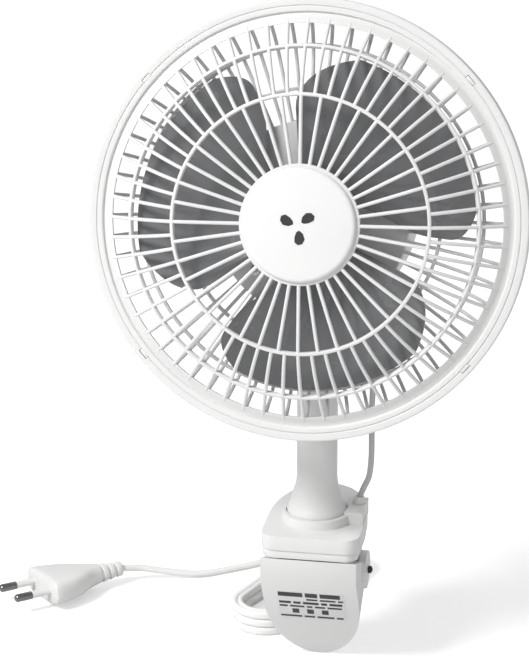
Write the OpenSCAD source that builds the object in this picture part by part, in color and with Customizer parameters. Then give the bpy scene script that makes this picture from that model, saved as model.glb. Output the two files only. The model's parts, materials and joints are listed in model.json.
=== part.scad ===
// Clip-on fan: a sprung peg clamp, a swivelling stem and a tilting head with a caged three-blade rotor.
// Front is -Y, up is +Z. The origin is the centre of the upper jaw pad's face.

/* [Clamp] */
// Width of the upper jaw and its handle
clip_w = 46; // [40:0.2:60]
// Width of the lower jaw and its handle
lower_w = 45; // [38:1:45]
// Distance from the jaws' front edge to the rear end of the upper handle
upper_len = 69; // [64:1:90]
// Length of the rounded end on each handle
round_len = 40; // [30:1:44]
// Plan radius of the jaws' front corners
corner_r = 7; // [2:0.5:8]
// Height of the cover over the upper jaw
cover_h = 7; // [6.5:0.5:12]
// Height of the tray under the cover
tray_h = 4; // [3.8:0.1:6]
// Wall of the clamp's mouldings
wall = 1.8; // [1.4:0.1:2.4]
// Distance from the jaws' front edge back to the hinge pin
jaw_reach = 28.5; // [26:0.5:34]
// Drop from the upper pad's face to the hinge pin
pin_drop = 14.5; // [13:0.5:18]
// Diameter of the hinge pin
pin_d = 2.6; // [2:0.1:3.4]
// Height of the lower jaw's front band
band_h = 10.4; // [8:0.2:13]
// Angle of the lower handle below level
handle_slope = 57; // [50:1:62]
// Length of the lower handle along its slope
handle_len = 62; // [55:1:75]
// Depth of the lower handle's rim at its end
rim_depth = 8; // [6:0.5:10]
// Width of the rubber jaw pads
pad_w = 30; // [24:1:32]
// Length of the rubber jaw pads
pad_len = 20; // [14:1:21]

/* [Stem] */
// Diameter of the stem tube
stem_d = 19; // [15.5:0.1:23]
// Diameter of the bell at the stem's foot
bell_d = 28; // [25:0.5:30]
// Width of the collar's wall around the bell
collar_wall = 2.2; // [1.6:0.2:3]
// Height of the collar above the cover
collar_h = 4.5; // [3:0.5:7]
// Distance from the jaws' front edge back to the stem's axis
stem_back = 25.5; // [24:0.5:28]
// Height of the tilt bolt above the cover
stem_h = 89; // [80:1:120]
// Diameter of the tilt bolt
bolt_d = 4; // [3:0.1:5]
// Width of the tongue between the stem's cheeks
tongue_w = 9; // [7:0.5:10]

/* [Head] */
// Outer diameter of the guards
guard_d = 196; // [184:1:240]
// Diameter swept by the blades
blade_d = 150; // [130:1:154]
// Height of the front guard's face ahead of its rim
dome_h = 22.5; // [21:0.5:30]
// Width of the guards' ribs
rib_w = 1.6; // [1.2:0.1:2]
// Thickness of the guards' shells
guard_t = 2.2; // [1.8:0.1:2.6]
// Diameter of the badge cap
cap_d = 50; // [46:1:56]
// Tilt of the head above level at rest
head_tilt = 12; // [0:1:20]
// Diameter of the motor housing
motor_d = 88; // [86:1:96]
// Length of the motor housing behind the guards
motor_len = 47; // [46:1:60]
// Distance from the head's axis down to the tilt bolt
bolt_below = 58; // [56:1:66]
// Distance from the guards' rim back to the tilt bolt
bolt_behind = 46; // [40:1:52]
// Diameter of the motor shaft
shaft_d = 4; // [3:0.1:5]
// Number of blades
blade_n = 3; // [2:1:4]

/* [Cord] */
// Width of the flat mains cord
cord_w = 4.2; // [4:0.1:4.6]
// Thickness of the flat mains cord
cord_t = 2.8; // [2.4:0.1:3]
// Diameter of the lead between head and clamp
lead_d = 2.8; // [2.2:0.2:3.2]

/* [Hidden] */

white = [0.93, 0.93, 0.92];
blade_grey = [0.55, 0.56, 0.58];
dark = [0.12, 0.12, 0.13];
steel = [0.75, 0.76, 0.78];
brass = [0.8, 0.62, 0.28];
rubber = [0.3, 0.3, 0.31];

// Clearances between pieces that move, and between pieces that only sit close
run = 0.05;
gap = 0.3;
eps = 0.01;

// Clamp places
pad_t = 1.6;
pad_proud = 0.5;
front_y = -(pad_len / 2 + 4.4);
tray_z = pad_proud;
cover_z = tray_z + tray_h;
top_z = cover_z + cover_h;
rear_y = front_y + upper_len;
pin_y = front_y + jaw_reach;
pin_z = -pin_drop;
lip_z = tray_z - gap;
ear_r = 9;
ear_t = 2.4;
lower_wall = 2;
lower_in = lower_w / 2 - lower_wall;
tray_inset = 0.6;
jaw_slope = atan2(lip_z - pin_z, jaw_reach);
slope_y = cos(handle_slope);
slope_z = -sin(handle_slope);
band_z = lip_z - band_h;
floor_z = band_z + handle_len * slope_z;
ear_x = lower_in - gap - ear_t;
boss_t = 1.4;

// Stem places
stem_y = front_y + stem_back;
bolt_z = top_z + stem_h;
spigot_r = 6;
spigot_z = top_z - wall - gap;
retainer_t = 1.2;
bell_gap = 0.4;
collar_r = bell_d / 2 + bell_gap + collar_wall;
washer_t = 0.8;
cheek_r = 8;
hollow_r = stem_d / 2 - 2.6;

// Head places, on the head's own axis: +Z forward, +Y up, zero at the guards' rim
alpha = 90 - head_tilt;
head_y = stem_y + bolt_below * cos(alpha) - bolt_behind * sin(alpha);
head_z = bolt_z + bolt_below * sin(alpha) + bolt_behind * cos(alpha);
guard_r = guard_d / 2;
rim_w = 6;
wall_r = guard_r - rim_w;
rim_t = 2.5;
cap_r = cap_d / 2;
ring1_r = guard_r * 0.577;
ring2_r = guard_r * 0.786;
rear_ring_r = guard_r * 0.592;
flat_r = guard_r * 0.51;
rear_z = -11;
plate_t = 2;
front_z = rear_z - plate_t;
motor_r = motor_d / 2;
back_z = front_z - motor_len;
case_t = 2;
stack_l = 18;
stack_z = -46;
rotor_r = 12;
shaft_r = shaft_d / 2;
brush_r = 4;
tie_x = 21;
post_x = 34;

// Points of an arc, and the plan of a handle: square front corners rounded, and a long rounded end
function arc(c, r, a0, a1, n) = [for (i = [0:n]) c + r * [cos(a0 + (a1 - a0) * i / n), sin(a0 + (a1 - a0) * i / n)]];
function on(r, a) = [r * cos(a), r * sin(a)];
function tongue(w, y0, y1, len, r) = concat(
  arc([-w / 2 + r, y0 + r], r, 180, 270, 5),
  arc([w / 2 - r, y0 + r], r, 270, 360, 5),
  [for (a = [0:10:180]) [w / 2 * cos(a), y1 - len + len * sin(a)]]
);

module upper_plan(inset) {
  polygon(tongue(clip_w - 2 * inset, front_y + inset, rear_y - inset, round_len - inset, corner_r - inset));
}

// A piece drawn on the head's axis, moved to its tilted place
module on_head() {
  translate([0, head_y, head_z]) rotate([alpha, 0, 0]) children();
}

// A round bar along X, centred
module bar_x(r, l) {
  rotate([0, 90, 0]) cylinder(r = r, h = l, center = true, $fn = 48);
}

module screw(r, l, head_r, head_t) {
  cylinder(r = r, h = l, $fn = 24);
  translate([0, 0, -head_t]) difference() {
    cylinder(r = head_r, h = head_t, $fn = 24);
    translate([-head_r, -0.3, -eps]) cube([2 * head_r, 0.6, head_t / 2]);
  }
}

// Pod on the right-hand edge that takes the lead from the head
pod_h = 6;
pod_w = 9.5;
pod_y0 = stem_y - 6;
pod_y1 = stem_y + 14;
pod_x = clip_w / 2 - 0.5;
grommet_r = 2.6;
grommet_x = pod_x - grommet_r - 0.9;
grommet_y = stem_y + 8;

module pod(inset, z0, z1) {
  translate([pod_x - pod_w + inset, pod_y0 + inset, z0]) linear_extrude(z1 - z0)
    polygon(concat(
      arc([2, 2], 2, 180, 270, 4),
      [[pod_w - 2 * inset, 0], [pod_w - 2 * inset, pod_y1 - pod_y0 - 2 * inset]],
      arc([3, pod_y1 - pod_y0 - 2 * inset - 3], 3, 90, 180, 4)
    ));
}

// Screws that hold the tray to the cover
screw_r = 1.1;
screw_x = clip_w / 2 - 4.3;
screw_at = [[-screw_x, front_y + 5.5], [screw_x, front_y + 5.5], [-11, rear_y - 13], [11, rear_y - 13]];
switch_y = stem_y + 5;
switch_z = cover_z + 2.6;
knob_slot = 11;
travel = 6;

module upper_cover() {
  color(white) difference() {
    union() {
      difference() {
        translate([0, 0, cover_z]) linear_extrude(cover_h) upper_plan(0);
        translate([0, 0, cover_z - eps]) linear_extrude(cover_h - wall) upper_plan(wall);
      }
      pod(0, top_z - wall, top_z + pod_h);
      translate([0, stem_y, top_z - eps]) cylinder(r = collar_r, h = collar_h + eps, $fn = 96);
      for (p = screw_at) translate([p[0], p[1], cover_z]) cylinder(r = 2.8, h = cover_h - wall + eps, $fn = 32);
    }
    pod(wall, cover_z, top_z + pod_h - wall);
    translate([0, stem_y, top_z]) cylinder(r = bell_d / 2 + bell_gap, h = collar_h + pod_h, $fn = 96);
    translate([0, stem_y, cover_z]) cylinder(r = spigot_r + run, h = cover_h + 1, $fn = 64);
    translate([grommet_x, grommet_y, top_z]) cylinder(r = grommet_r, h = pod_h + 1, $fn = 32);
    for (p = screw_at) translate([p[0], p[1], cover_z - eps]) cylinder(r = screw_r, h = cover_h - wall - 1, $fn = 24);
    translate([-clip_w / 2 - 1, switch_y - knob_slot / 2, switch_z - 1.5]) cube([wall + 2, knob_slot, 3]);
  }
}

module tray_ear(side) {
  translate([side > 0 ? ear_x : -ear_x - ear_t, 0, 0]) rotate([90, 0, 90]) linear_extrude(ear_t)
    polygon(concat(
      [[pin_y + 9, tray_z + 1], [pin_y - 7, tray_z + 1]],
      arc([pin_y, pin_z], 5.5, 170, 360, 12)
    ));
}

gland_y = rear_y - 12;
gland_x = -4;
gland_r = 3.6;
gland_len = 22;
gland_tilt = 50;

module upper_tray() {
  color(white) difference() {
    union() {
      difference() {
        translate([0, 0, tray_z]) linear_extrude(tray_h) upper_plan(tray_inset);
        translate([0, 0, tray_z + 2.1]) linear_extrude(tray_h) upper_plan(wall + tray_inset);
      }
      for (p = screw_at) translate([p[0], p[1], tray_z]) cylinder(r = 2.8, h = tray_h, $fn = 32);
      tray_ear(1);
      tray_ear(-1);
    }
    translate([-pad_w / 2, -pad_len / 2, tray_z - 1]) cube([pad_w, pad_len, pad_t - pad_proud + 1]);
    translate([0, pin_y, pin_z]) bar_x(pin_d / 2, clip_w + 4);
    for (p = screw_at) translate([p[0], p[1], tray_z - eps]) {
      cylinder(r = screw_r + 0.2, h = tray_h + 1, $fn = 24);
      cylinder(r = 2.1, h = 1.6 + eps, $fn = 24);
    }
    translate([gland_x, gland_y, tray_z - 1]) cylinder(r = gland_r, h = 4, $fn = 32);
  }
}

module upper_pad() {
  color(rubber) difference() {
    translate([-pad_w / 2, -pad_len / 2, 0]) cube([pad_w, pad_len, pad_t]);
    for (i = [1:6]) translate([-pad_w / 2 - 1, -pad_len / 2 + i * pad_len / 7 - 0.4, -1]) cube([pad_w + 2, 0.8, 1.4]);
  }
}

module tray_screws() {
  color(steel) for (p = screw_at) translate([p[0], p[1], tray_z + 1.6]) screw(screw_r, tray_h + cover_h - wall - 3.2, 1.9, 1.3);
}

pin_l = lower_w + 2 * boss_t + 1.2;

module hinge_pin() {
  color(steel) translate([0, pin_y, pin_z]) bar_x(pin_d / 2, pin_l);
}

module pin_caps() {
  color(dark) for (s = [-1, 1]) translate([s * pin_l / 2, pin_y, pin_z]) rotate([0, s * 90, 0]) {
    translate([0, 0, -0.3]) difference() {
      cylinder(r = pin_d / 2 + 0.5, h = 0.3 + eps, $fn = 32);
      translate([0, 0, -eps]) cylinder(r = pin_d / 2, h = 1, $fn = 32);
    }
    cylinder(r = pin_d / 2 + 0.5, h = 1, $fn = 32);
    translate([0, 0, 1]) cylinder(r1 = pin_d / 2 + 0.5, r2 = pin_d / 2 - 0.5, h = 0.8, $fn = 32);
  }
}

// Torsion spring: a coil on the hinge pin, with one leg up under the tray behind the pin
// and one leg under the lower jaw's plate in front of it
spring_r = 3.6;
spring_wire = 0.8;
spring_half = 8;
spring_step = 30;
spring_from = 180;
spring_to = 300 + 5 * 360;
leg_drop = tan(jaw_slope);
function plate_under(y) = lip_z - 2.6 - (y - front_y) * leg_drop - spring_wire / cos(jaw_slope) - 0.4;
function coil_at(a) = [
  -spring_half + 2 * spring_half * (a - spring_from) / (spring_to - spring_from),
  pin_y - spring_r * cos(a),
  pin_z + spring_r * sin(a)
];
spring_line = concat(
  [[-spring_half, pin_y + 14, tray_z - spring_wire], [-spring_half, pin_y + 7, tray_z - spring_wire]],
  [[-spring_half, pin_y + 4.6, tray_z - spring_wire - 1.6], [-spring_half, pin_y + spring_r + 0.2, pin_z + 7]],
  [for (a = [spring_from:spring_step:spring_to]) coil_at(a)],
  [[spring_half, 4, plate_under(4)], [spring_half, -3, plate_under(-3)]]
);

// Ring of a swept tube at one point of its line: w across it at right angles to the side vector, h the other way
function unit(v) = v / norm(v);
function along(p, i) = unit(p[min(i + 1, len(p) - 1)] - p[max(i - 1, 0)]);
function across(t, side) = unit(cross(t, side));
function ring(c, t, side, w, h, n) = [for (k = [0:n - 1])
  c + w / 2 * cos(360 * k / n) * across(t, side) + h / 2 * sin(360 * k / n) * cross(across(t, side), t)];

module tube(p, side, w, h, n) {
  m = len(p);
  points = [for (i = [0:m - 1]) each ring(p[i], along(p, i), side, w, h, n)];
  sides = [for (i = [0:m - 2]) for (k = [0:n - 1])
    [i * n + k, i * n + (k + 1) % n, (i + 1) * n + (k + 1) % n, (i + 1) * n + k]];
  ends = [[for (k = [0:n - 1]) n - 1 - k], [for (k = [0:n - 1]) (m - 1) * n + k]];
  polyhedron(points = points, faces = concat(sides, ends), convexity = 10);
}

module clamp_spring() {
  color(steel) tube(spring_line, [1, 0, 0], 2 * spring_wire, 2 * spring_wire, 6);
}

module switch_body() {
  color(dark) translate([-clip_w / 2 + wall + 0.9, switch_y - 7, cover_z + 0.2]) difference() {
    cube([7, 14, cover_h - wall - 0.4]);
    translate([-1, 1.5, 0.8]) cube([3.4, 11, 3.2]);
  }
}

module switch_knob() {
  color(dark) translate([-clip_w / 2 - 1.4, switch_y - knob_slot / 2 + 0.5, switch_z - 1.2]) difference() {
    cube([wall + 3.2, 4, 2.4]);
    for (i = [0:2]) translate([-1, 0.8 + i, -1]) cube([1.4, 0.4, 5]);
  }
}

module terminal_block() {
  color(white) translate([5, rear_y - 30, tray_z + 2.1]) difference() {
    cube([8, 10, 5]);
    for (i = [0, 1]) translate([2 + 4 * i, -1, 2.4]) rotate([-90, 0, 0]) cylinder(r = 1.1, h = 12, $fn = 24);
  }
}

module cord_clamp() {
  color(white) translate([-9, rear_y - 22, tray_z + 2.1]) difference() {
    cube([10, 4, 4.4]);
    translate([2.9, -1, -eps]) cube([4.2, 6, 2.8]);
  }
}

// Strain relief under the rear of the tray, leaning back and down
module cord_gland() {
  color(white) difference() {
    union() {
      translate([gland_x, gland_y, tray_z - 1.6]) cylinder(r = gland_r, h = 3.6, $fn = 32);
      translate([gland_x, gland_y, tray_z - 1.6]) rotate([180 + gland_tilt, 0, 0]) {
        translate([0, 0, -1]) cylinder(r1 = 3.4, r2 = 2.5, h = gland_len + 1, $fn = 32);
        for (i = [0:3]) translate([0, 0, 6 + 4 * i]) cylinder(r = 3.3 - 0.15 * i, h = 1.6, $fn = 32);
      }
    }
    translate([gland_x - 6, gland_y - 6, tray_z + 2]) cube(12);
  }
}

module lead_grommet() {
  color(white) translate([grommet_x, grommet_y, top_z + pod_h]) difference() {
    union() {
      translate([0, 0, -wall]) cylinder(r = grommet_r, h = wall + 0.2, $fn = 32);
      cylinder(r1 = grommet_r + 0.8, r2 = grommet_r - 0.4, h = 3, $fn = 32);
    }
    translate([0, 0, -wall - 1]) cylinder(r = lead_d / 2, h = 10, $fn = 32);
  }
}

module swivel_washer() {
  color(dark) translate([0, stem_y, top_z]) difference() {
    cylinder(r = bell_d / 2 - 1, h = washer_t, $fn = 64);
    translate([0, 0, -1]) cylinder(r = spigot_r + 0.4, h = 4, $fn = 64);
  }
}

// Side view of the lower jaw, as [y, z] points
handle_end = [front_y, band_z] + handle_len * [slope_y, slope_z];
rim_end = handle_end + rim_depth * [-slope_z, slope_y];
function lower_side(w) = concat(
  [[front_y + w, lip_z - w], [front_y + w, band_z + w * 0.55]],
  [handle_end + 20 * [slope_y, slope_z] + w * [-slope_z, slope_y], rim_end + 20 * [slope_y, slope_z]]
);

// Plan of the lower handle, drawn across the slope from the band's foot
module lower_plan(inset) {
  translate([0, front_y, band_z]) rotate([-handle_slope, 0, 0]) translate([0, 0, -60]) linear_extrude(140)
    polygon(concat(
      [[-lower_w / 2 + inset, -40], [lower_w / 2 - inset, -40]],
      [for (a = [0:10:180]) [(lower_w / 2 - inset) * cos(a), handle_len - round_len + (round_len - inset) * sin(a)]]
    ));
}

module along_x(w) {
  translate([-w / 2, 0, 0]) rotate([90, 0, 90]) linear_extrude(w) children();
}

plate_end = pin_y - 10;

module lower_jaw() {
  color(white) difference() {
    union() {
      intersection() {
        lower_plan(0);
        along_x(lower_w) polygon(concat(
          lower_side(0),
          [rim_end, [pin_y + (ear_r - 1) * cos(25), pin_z - (ear_r - 1) * sin(25)]],
          [[pin_y - (ear_r - 1) * cos(50), pin_z + (ear_r - 1) * sin(50)]]
        ));
      }
      translate([0, pin_y, pin_z]) bar_x(ear_r, lower_w + 2 * boss_t);
    }
    intersection() {
      lower_plan(lower_wall);
      along_x(lower_w - 2 * lower_wall) polygon([
        [front_y + lower_wall, lip_z - 2.6 - lower_wall * tan(jaw_slope)],
        [front_y + lower_wall, band_z + lower_wall * 0.55],
        handle_end + 30 * [slope_y, slope_z] + lower_wall * [-slope_z, slope_y],
        rim_end + 30 * [slope_y, slope_z] + 30 * [-slope_z, slope_y],
        [pin_y + 30, pin_z + 30],
        [plate_end, 10],
        [plate_end, lip_z - 2.6 - (plate_end - front_y) * tan(jaw_slope)]
      ]);
    }
    // Open the space between the ears above the plate's rear end
    translate([-lower_in, plate_end, pin_z - ear_r - 1]) cube([2 * lower_in, 40, 40]);
    translate([0, pin_y, pin_z]) bar_x(pin_d / 2 + run, lower_w + 10);
    // Seat of the lower pad
    translate([0, front_y, lip_z]) rotate([-jaw_slope, 0, 0]) translate([-pad_w / 2, 3, -1]) cube([pad_w, 12, 3]);
  }
}

module lower_pad() {
  color(rubber) translate([0, front_y, lip_z]) rotate([-jaw_slope, 0, 0]) difference() {
    translate([-pad_w / 2, 3, -1]) cube([pad_w, 12, 1.5]);
    for (i = [1:3]) translate([-pad_w / 2 - 1, 3 + i * 3 - 0.4, 0]) cube([pad_w + 2, 0.8, 1]);
  }
}

// Plate with rounded corners on the outside of the lower handle
module rating_label() {
  color("white") translate([0, front_y, band_z]) rotate([-handle_slope, 0, 0]) translate([0, 0, -0.2])
    linear_extrude(0.2) polygon(concat(
      arc([-14, 10], 2, 180, 270, 4), arc([14, 10], 2, 270, 360, 4),
      arc([14, 30], 2, 0, 90, 4), arc([-14, 30], 2, 90, 180, 4)
    ));
}

bell_z = top_z + washer_t;

module stem() {
  color(white) difference() {
    union() {
      translate([0, stem_y, 0]) rotate_extrude($fn = 96) polygon([
        [0, spigot_z], [spigot_r, spigot_z], [spigot_r, bell_z], [bell_d / 2, bell_z],
        [bell_d / 2, bell_z + 5], [bell_d / 2 - 1.4, bell_z + 7.5], [stem_d / 2 + 1.6, bell_z + 13],
        [stem_d / 2 + 0.4, bell_z + 17], [stem_d / 2, bell_z + 21], [stem_d / 2, bolt_z - 12], [0, bolt_z - 12]
      ]);
      intersection() {
        translate([0, stem_y, bolt_z - 20]) cylinder(r = stem_d / 2, h = 40, $fn = 96);
        union() {
          translate([0, stem_y, bolt_z]) bar_x(cheek_r, 30);
          translate([-15, stem_y - cheek_r, bolt_z - 16]) cube([30, 2 * cheek_r, 16]);
        }
      }
    }
    translate([0, stem_y, top_z + 6]) cylinder(r = hollow_r, h = bolt_z - 22 - top_z, $fn = 64);
    translate([0, stem_y, spigot_z - 1]) cylinder(r = screw_r, h = 7.5, $fn = 24);
    translate([-tongue_w / 2 - gap, stem_y - 20, bolt_z - cheek_r - 3]) cube([tongue_w + 2 * gap, 40, 40]);
    translate([0, stem_y, bolt_z]) bar_x(bolt_d / 2, 40);
    for (s = [-1, 1]) translate([s * bell_d / 2, stem_y, bell_z + 5]) cylinder(r = 1.1, h = 4, $fn = 24);
  }
}

// Disc and screw under the stem's spigot, inside the cover
module swivel_retainer() {
  color(steel) translate([0, stem_y, spigot_z - retainer_t]) difference() {
    cylinder(r = spigot_r + 3, h = retainer_t, $fn = 64);
    translate([0, 0, -1]) cylinder(r = screw_r + 0.2, h = 4, $fn = 24);
  }
}

module retainer_screw() {
  color(steel) translate([0, stem_y, spigot_z - retainer_t]) screw(screw_r, 6.5, 2.2, 1.1);
}

module tilt_bolt() {
  color(steel) translate([0, stem_y, bolt_z]) {
    bar_x(bolt_d / 2, stem_d + 4);
    translate([stem_d / 2 + 1, 0, 0]) rotate([0, 90, 0]) cylinder(r = bolt_d * 0.9, h = 2.4, $fn = 6);
    translate([stem_d / 2 + 0.5, 0, 0]) bar_x(bolt_d * 1.1, 1);
  }
}

module tilt_nut() {
  color(dark) translate([-stem_d / 2 - 6, stem_y, bolt_z]) rotate([0, 90, 0]) difference() {
    union() {
      cylinder(r = 5, h = 6, $fn = 48);
      for (a = [0:30:330]) rotate([0, 0, a]) translate([5, 0, 0]) cylinder(r = 0.8, h = 6, $fn = 16);
    }
    translate([0, 0, 4]) cylinder(r = bolt_d / 2, h = 4, $fn = 48);
  }
}

module motor_housing_front() {
  color(white) on_head() difference() {
    union() {
      translate([0, 0, front_z - 2]) cylinder(r = motor_r, h = 2, $fn = 120);
      translate([0, 0, front_z - 6]) difference() {
        cylinder(r = motor_r - case_t - gap, h = 5, $fn = 120);
        translate([0, 0, -1]) cylinder(r = motor_r - case_t - gap - 1.5, h = 8, $fn = 120);
      }
      for (s = [-1, 1]) {
        translate([s * tie_x, 0, stack_z + stack_l + 3.5]) cylinder(r = 3.2, h = front_z - 2 - stack_z - stack_l - 3.5 + eps, $fn = 32);
        translate([s * post_x, 0, back_z + 16]) cylinder(r = 3.4, h = front_z - 2 - back_z - 16 + eps, $fn = 32);
      }
      for (a = [45:90:315]) rotate([0, 0, a]) translate([34, 0, front_z - 7]) cylinder(r = 3, h = 6, $fn = 32);
    }
    translate([0, 0, front_z - 4]) cylinder(r = 8, h = 8, $fn = 64);
    for (s = [-1, 1]) {
      translate([s * tie_x, 0, stack_z + stack_l]) cylinder(r = screw_r, h = 10, $fn = 24);
      translate([s * post_x, 0, back_z + 15]) cylinder(r = screw_r, h = 10, $fn = 24);
    }
    for (a = [45:90:315]) rotate([0, 0, a]) translate([34, 0, front_z - 6]) cylinder(r = screw_r, h = 10, $fn = 24);
  }
}

bush_x = 20;
bush_y = -33;

module motor_housing_rear() {
  color(white) on_head() difference() {
    union() {
      rotate_extrude($fn = 120) polygon(concat(
        [[0, back_z + case_t], [0, back_z]],
        arc([motor_r - 14, back_z + 14], 14, -90, 0, 6),
        [[motor_r, front_z - 2], [motor_r - case_t, front_z - 2]],
        arc([motor_r - 14, back_z + 14], 14 - case_t, 0, -90, 6)
      ));
      difference() {
        union() {
          translate([0, -bolt_below, -bolt_behind]) bar_x(cheek_r - 0.5, tongue_w);
          translate([-tongue_w / 2, -bolt_below, -bolt_behind - cheek_r + 0.5]) cube([tongue_w, bolt_below - motor_r + 4, 2 * cheek_r - 1]);
        }
        translate([0, 0, back_z - 10]) cylinder(r = motor_r - case_t, h = 70, $fn = 120);
      }
      for (s = [-1, 1]) translate([s * post_x, 0, back_z + 1]) cylinder(r = 4, h = 14.7, $fn = 32);
    }
    translate([0, -bolt_below, -bolt_behind]) bar_x(bolt_d / 2 + run, 40);
    for (a = [0:30:330]) rotate([0, 0, a]) translate([8, -1, back_z - 1]) cube([14, 2, 4]);
    for (s = [-1, 1]) translate([s * post_x, 0, back_z - 1]) cylinder(r = screw_r + 0.2, h = 20, $fn = 24);
    for (s = [-1, 1]) translate([s * post_x, 0, back_z - 1]) cylinder(r = 2.6, h = 14, $fn = 24);
    translate([bush_x, bush_y, -bolt_behind + 4]) rotate([90, 0, 0]) cylinder(r = 2.6, h = 20, $fn = 32);
  }
}

module housing_screws() {
  color(steel) on_head() for (s = [-1, 1]) translate([s * post_x, 0, back_z + 13]) screw(screw_r, 9, 2.2, 1.4);
}

// Windows between straight ribs of one width, over a ring-shaped zone
module windows(r0, r1, n) {
  translate([0, 0, -30]) linear_extrude(70) for (i = [0:n - 1]) {
    a0 = i * 360 / n + rib_turn;
    a1 = a0 + 360 / n;
    polygon([
      on(r0, a0 + asin(rib_w / 2 / r0)), on(r1, a0 + asin(rib_w / 2 / r1)),
      on(r1, a1 - asin(rib_w / 2 / r1)), on(r0, a1 - asin(rib_w / 2 / r0))
    ]);
  }
}

rib_turn = 1.5;
ribs_in = 40;
ribs_out = 60;
ring_w = 1.5;
window_end = wall_r - 4;

// Height of the front guard's outer face above its rim at a radius
function dome(r) = r < flat_r ? dome_h : dome_h * cos(90 * (r - flat_r) / (wall_r - flat_r));
dome_rings = [for (i = [0:8]) flat_r + (wall_r - 0.6 - flat_r) * sin(90 * i / 8)];

module front_guard() {
  color(white) on_head() difference() {
    rotate_extrude($fn = 120) polygon(concat(
      [[0, dome_h]],
      [for (r = dome_rings) [r, dome(r)]],
      [[wall_r, rim_t], [guard_r, rim_t], [guard_r, -rim_t], [wall_r - guard_t, -rim_t]],
      [for (i = [7:-1:0]) [dome_rings[i] - guard_t / 2 * i / 8, dome(dome_rings[i]) - guard_t]],
      [[0, dome_h - guard_t]]
    ));
    windows(cap_r + 1, ring1_r - ring_w / 2, ribs_in);
    windows(ring1_r + ring_w / 2, ring2_r - ring_w / 2, ribs_out);
    windows(ring2_r + ring_w / 2, window_end, ribs_out);
    for (a = [43, 141, 221.5, 320]) rotate([0, 0, a]) translate([wall_r + 2, -2.6, -4]) cube([2.4, 5.2, 8]);
    for (a = [0:90:270]) rotate([0, 0, a]) translate([16, 0, 0]) cylinder(r = 1.6, h = 40, $fn = 24);
  }
}

module guard_clips() {
  color(white) on_head() for (a = [43, 141, 221.5, 320]) rotate([0, 0, a]) translate([wall_r + 2, -2.4, -rim_t - 0.2]) {
    cube([1.6, 4.8, 5]);
  }
}

module rear_guard() {
  color(white) on_head() difference() {
    rotate_extrude($fn = 120) polygon([
      [10, front_z], [ring2_r + 1, front_z], [wall_r - 7, front_z + 3], [wall_r - 1, -rim_t - 3], [guard_r, -rim_t - 3],
      [guard_r, -rim_t - 0.2], [wall_r - 1, -rim_t - 0.2], [wall_r - 8, rear_z + 3], [ring2_r, rear_z], [10, rear_z]
    ]);
    windows(motor_r - 1, rear_ring_r - ring_w / 2, ribs_out);
    windows(rear_ring_r + ring_w / 2, ring2_r - ring_w / 2, ribs_out);
    windows(ring2_r + ring_w / 2, wall_r - 2, ribs_out);
    for (a = [45:90:315]) rotate([0, 0, a]) translate([34, 0, front_z - 1]) cylinder(r = screw_r + 0.2, h = 4, $fn = 24);
  }
}

module guard_screws() {
  color(steel) on_head() for (a = [45:90:315]) rotate([0, 0, a]) translate([34, 0, rear_z]) rotate([180, 0, 0]) screw(screw_r, 7, 2.2, 1.3);
}

module badge_cap() {
  color(white) on_head() {
    translate([0, 0, dome_h]) rotate_extrude($fn = 96) polygon(concat(
      [[0, 0]], [[cap_r, 0], [cap_r, 1]], [for (a = [10:20:90]) [cap_r * cos(a), 1 + 2.6 * sin(a)]], [[0, 3.6]]
    ));
    for (a = [0:90:270]) rotate([0, 0, a]) translate([16, 0, dome_h - guard_t - 0.6]) cylinder(r = 1.5, h = guard_t + 0.6 + eps, $fn = 24);
  }
}

module stator_core() {
  color(steel) on_head() translate([0, 0, stack_z]) difference() {
    linear_extrude(stack_l) polygon([[-25, -20], [-20, -24], [20, -24], [25, -20], [25, 26], [21, 30], [-21, 30], [-25, 26]]);
    translate([0, 0, -1]) cylinder(r = rotor_r + 0.4, h = stack_l + 2, $fn = 64);
    translate([-14, 17.5, -1]) cube([28, 6.5, stack_l + 2]);
    for (s = [-1, 1]) translate([s * tie_x, 0, -1]) cylinder(r = 1.7, h = stack_l + 2, $fn = 24);
  }
}

module field_coil() {
  color([0.75, 0.4, 0.2]) on_head() translate([0, 0, stack_z + stack_l / 2]) difference() {
    translate([-10, 18, -stack_l / 2 - 3.5]) cube([20, 16, stack_l + 7]);
    translate([-11, 24, -stack_l / 2]) cube([22, 6, stack_l]);
  }
}

// A bearing bracket: a strap across the stack with a boss for its bush
module bracket() {
  difference() {
    union() {
      translate([-26, -6, 0]) cube([52, 12, 1.5]);
      cylinder(r = 6.5, h = 5, $fn = 48);
      for (s = [-1, 1]) translate([s * tie_x, 0, -2]) cylinder(r = 3, h = 2 + eps, $fn = 32);
    }
    translate([0, 0, -1]) cylinder(r = brush_r, h = 8, $fn = 48);
    for (s = [-1, 1]) translate([s * tie_x, 0, -3]) cylinder(r = 1.7, h = 8, $fn = 24);
  }
}

module bush() {
  color(brass) difference() {
    cylinder(r = brush_r, h = 5, $fn = 48);
    translate([0, 0, -1]) cylinder(r = shaft_r + run, h = 8, $fn = 48);
  }
}

module at_front() {
  on_head() translate([0, 0, stack_z + stack_l + 2]) children();
}

module at_rear() {
  on_head() translate([0, 0, stack_z - 2]) rotate([180, 0, 0]) children();
}

module front_bracket() {
  color(steel) at_front() bracket();
}

module rear_bracket() {
  color(steel) at_rear() bracket();
}

module front_bearing() {
  at_front() bush();
}

module rear_bearing() {
  at_rear() bush();
}

module motor_screws() {
  color(steel) on_head() for (s = [-1, 1]) translate([s * tie_x, 0, stack_z - 3.5]) screw(screw_r, stack_l + 13, 2.4, 1.4);
}

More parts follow.
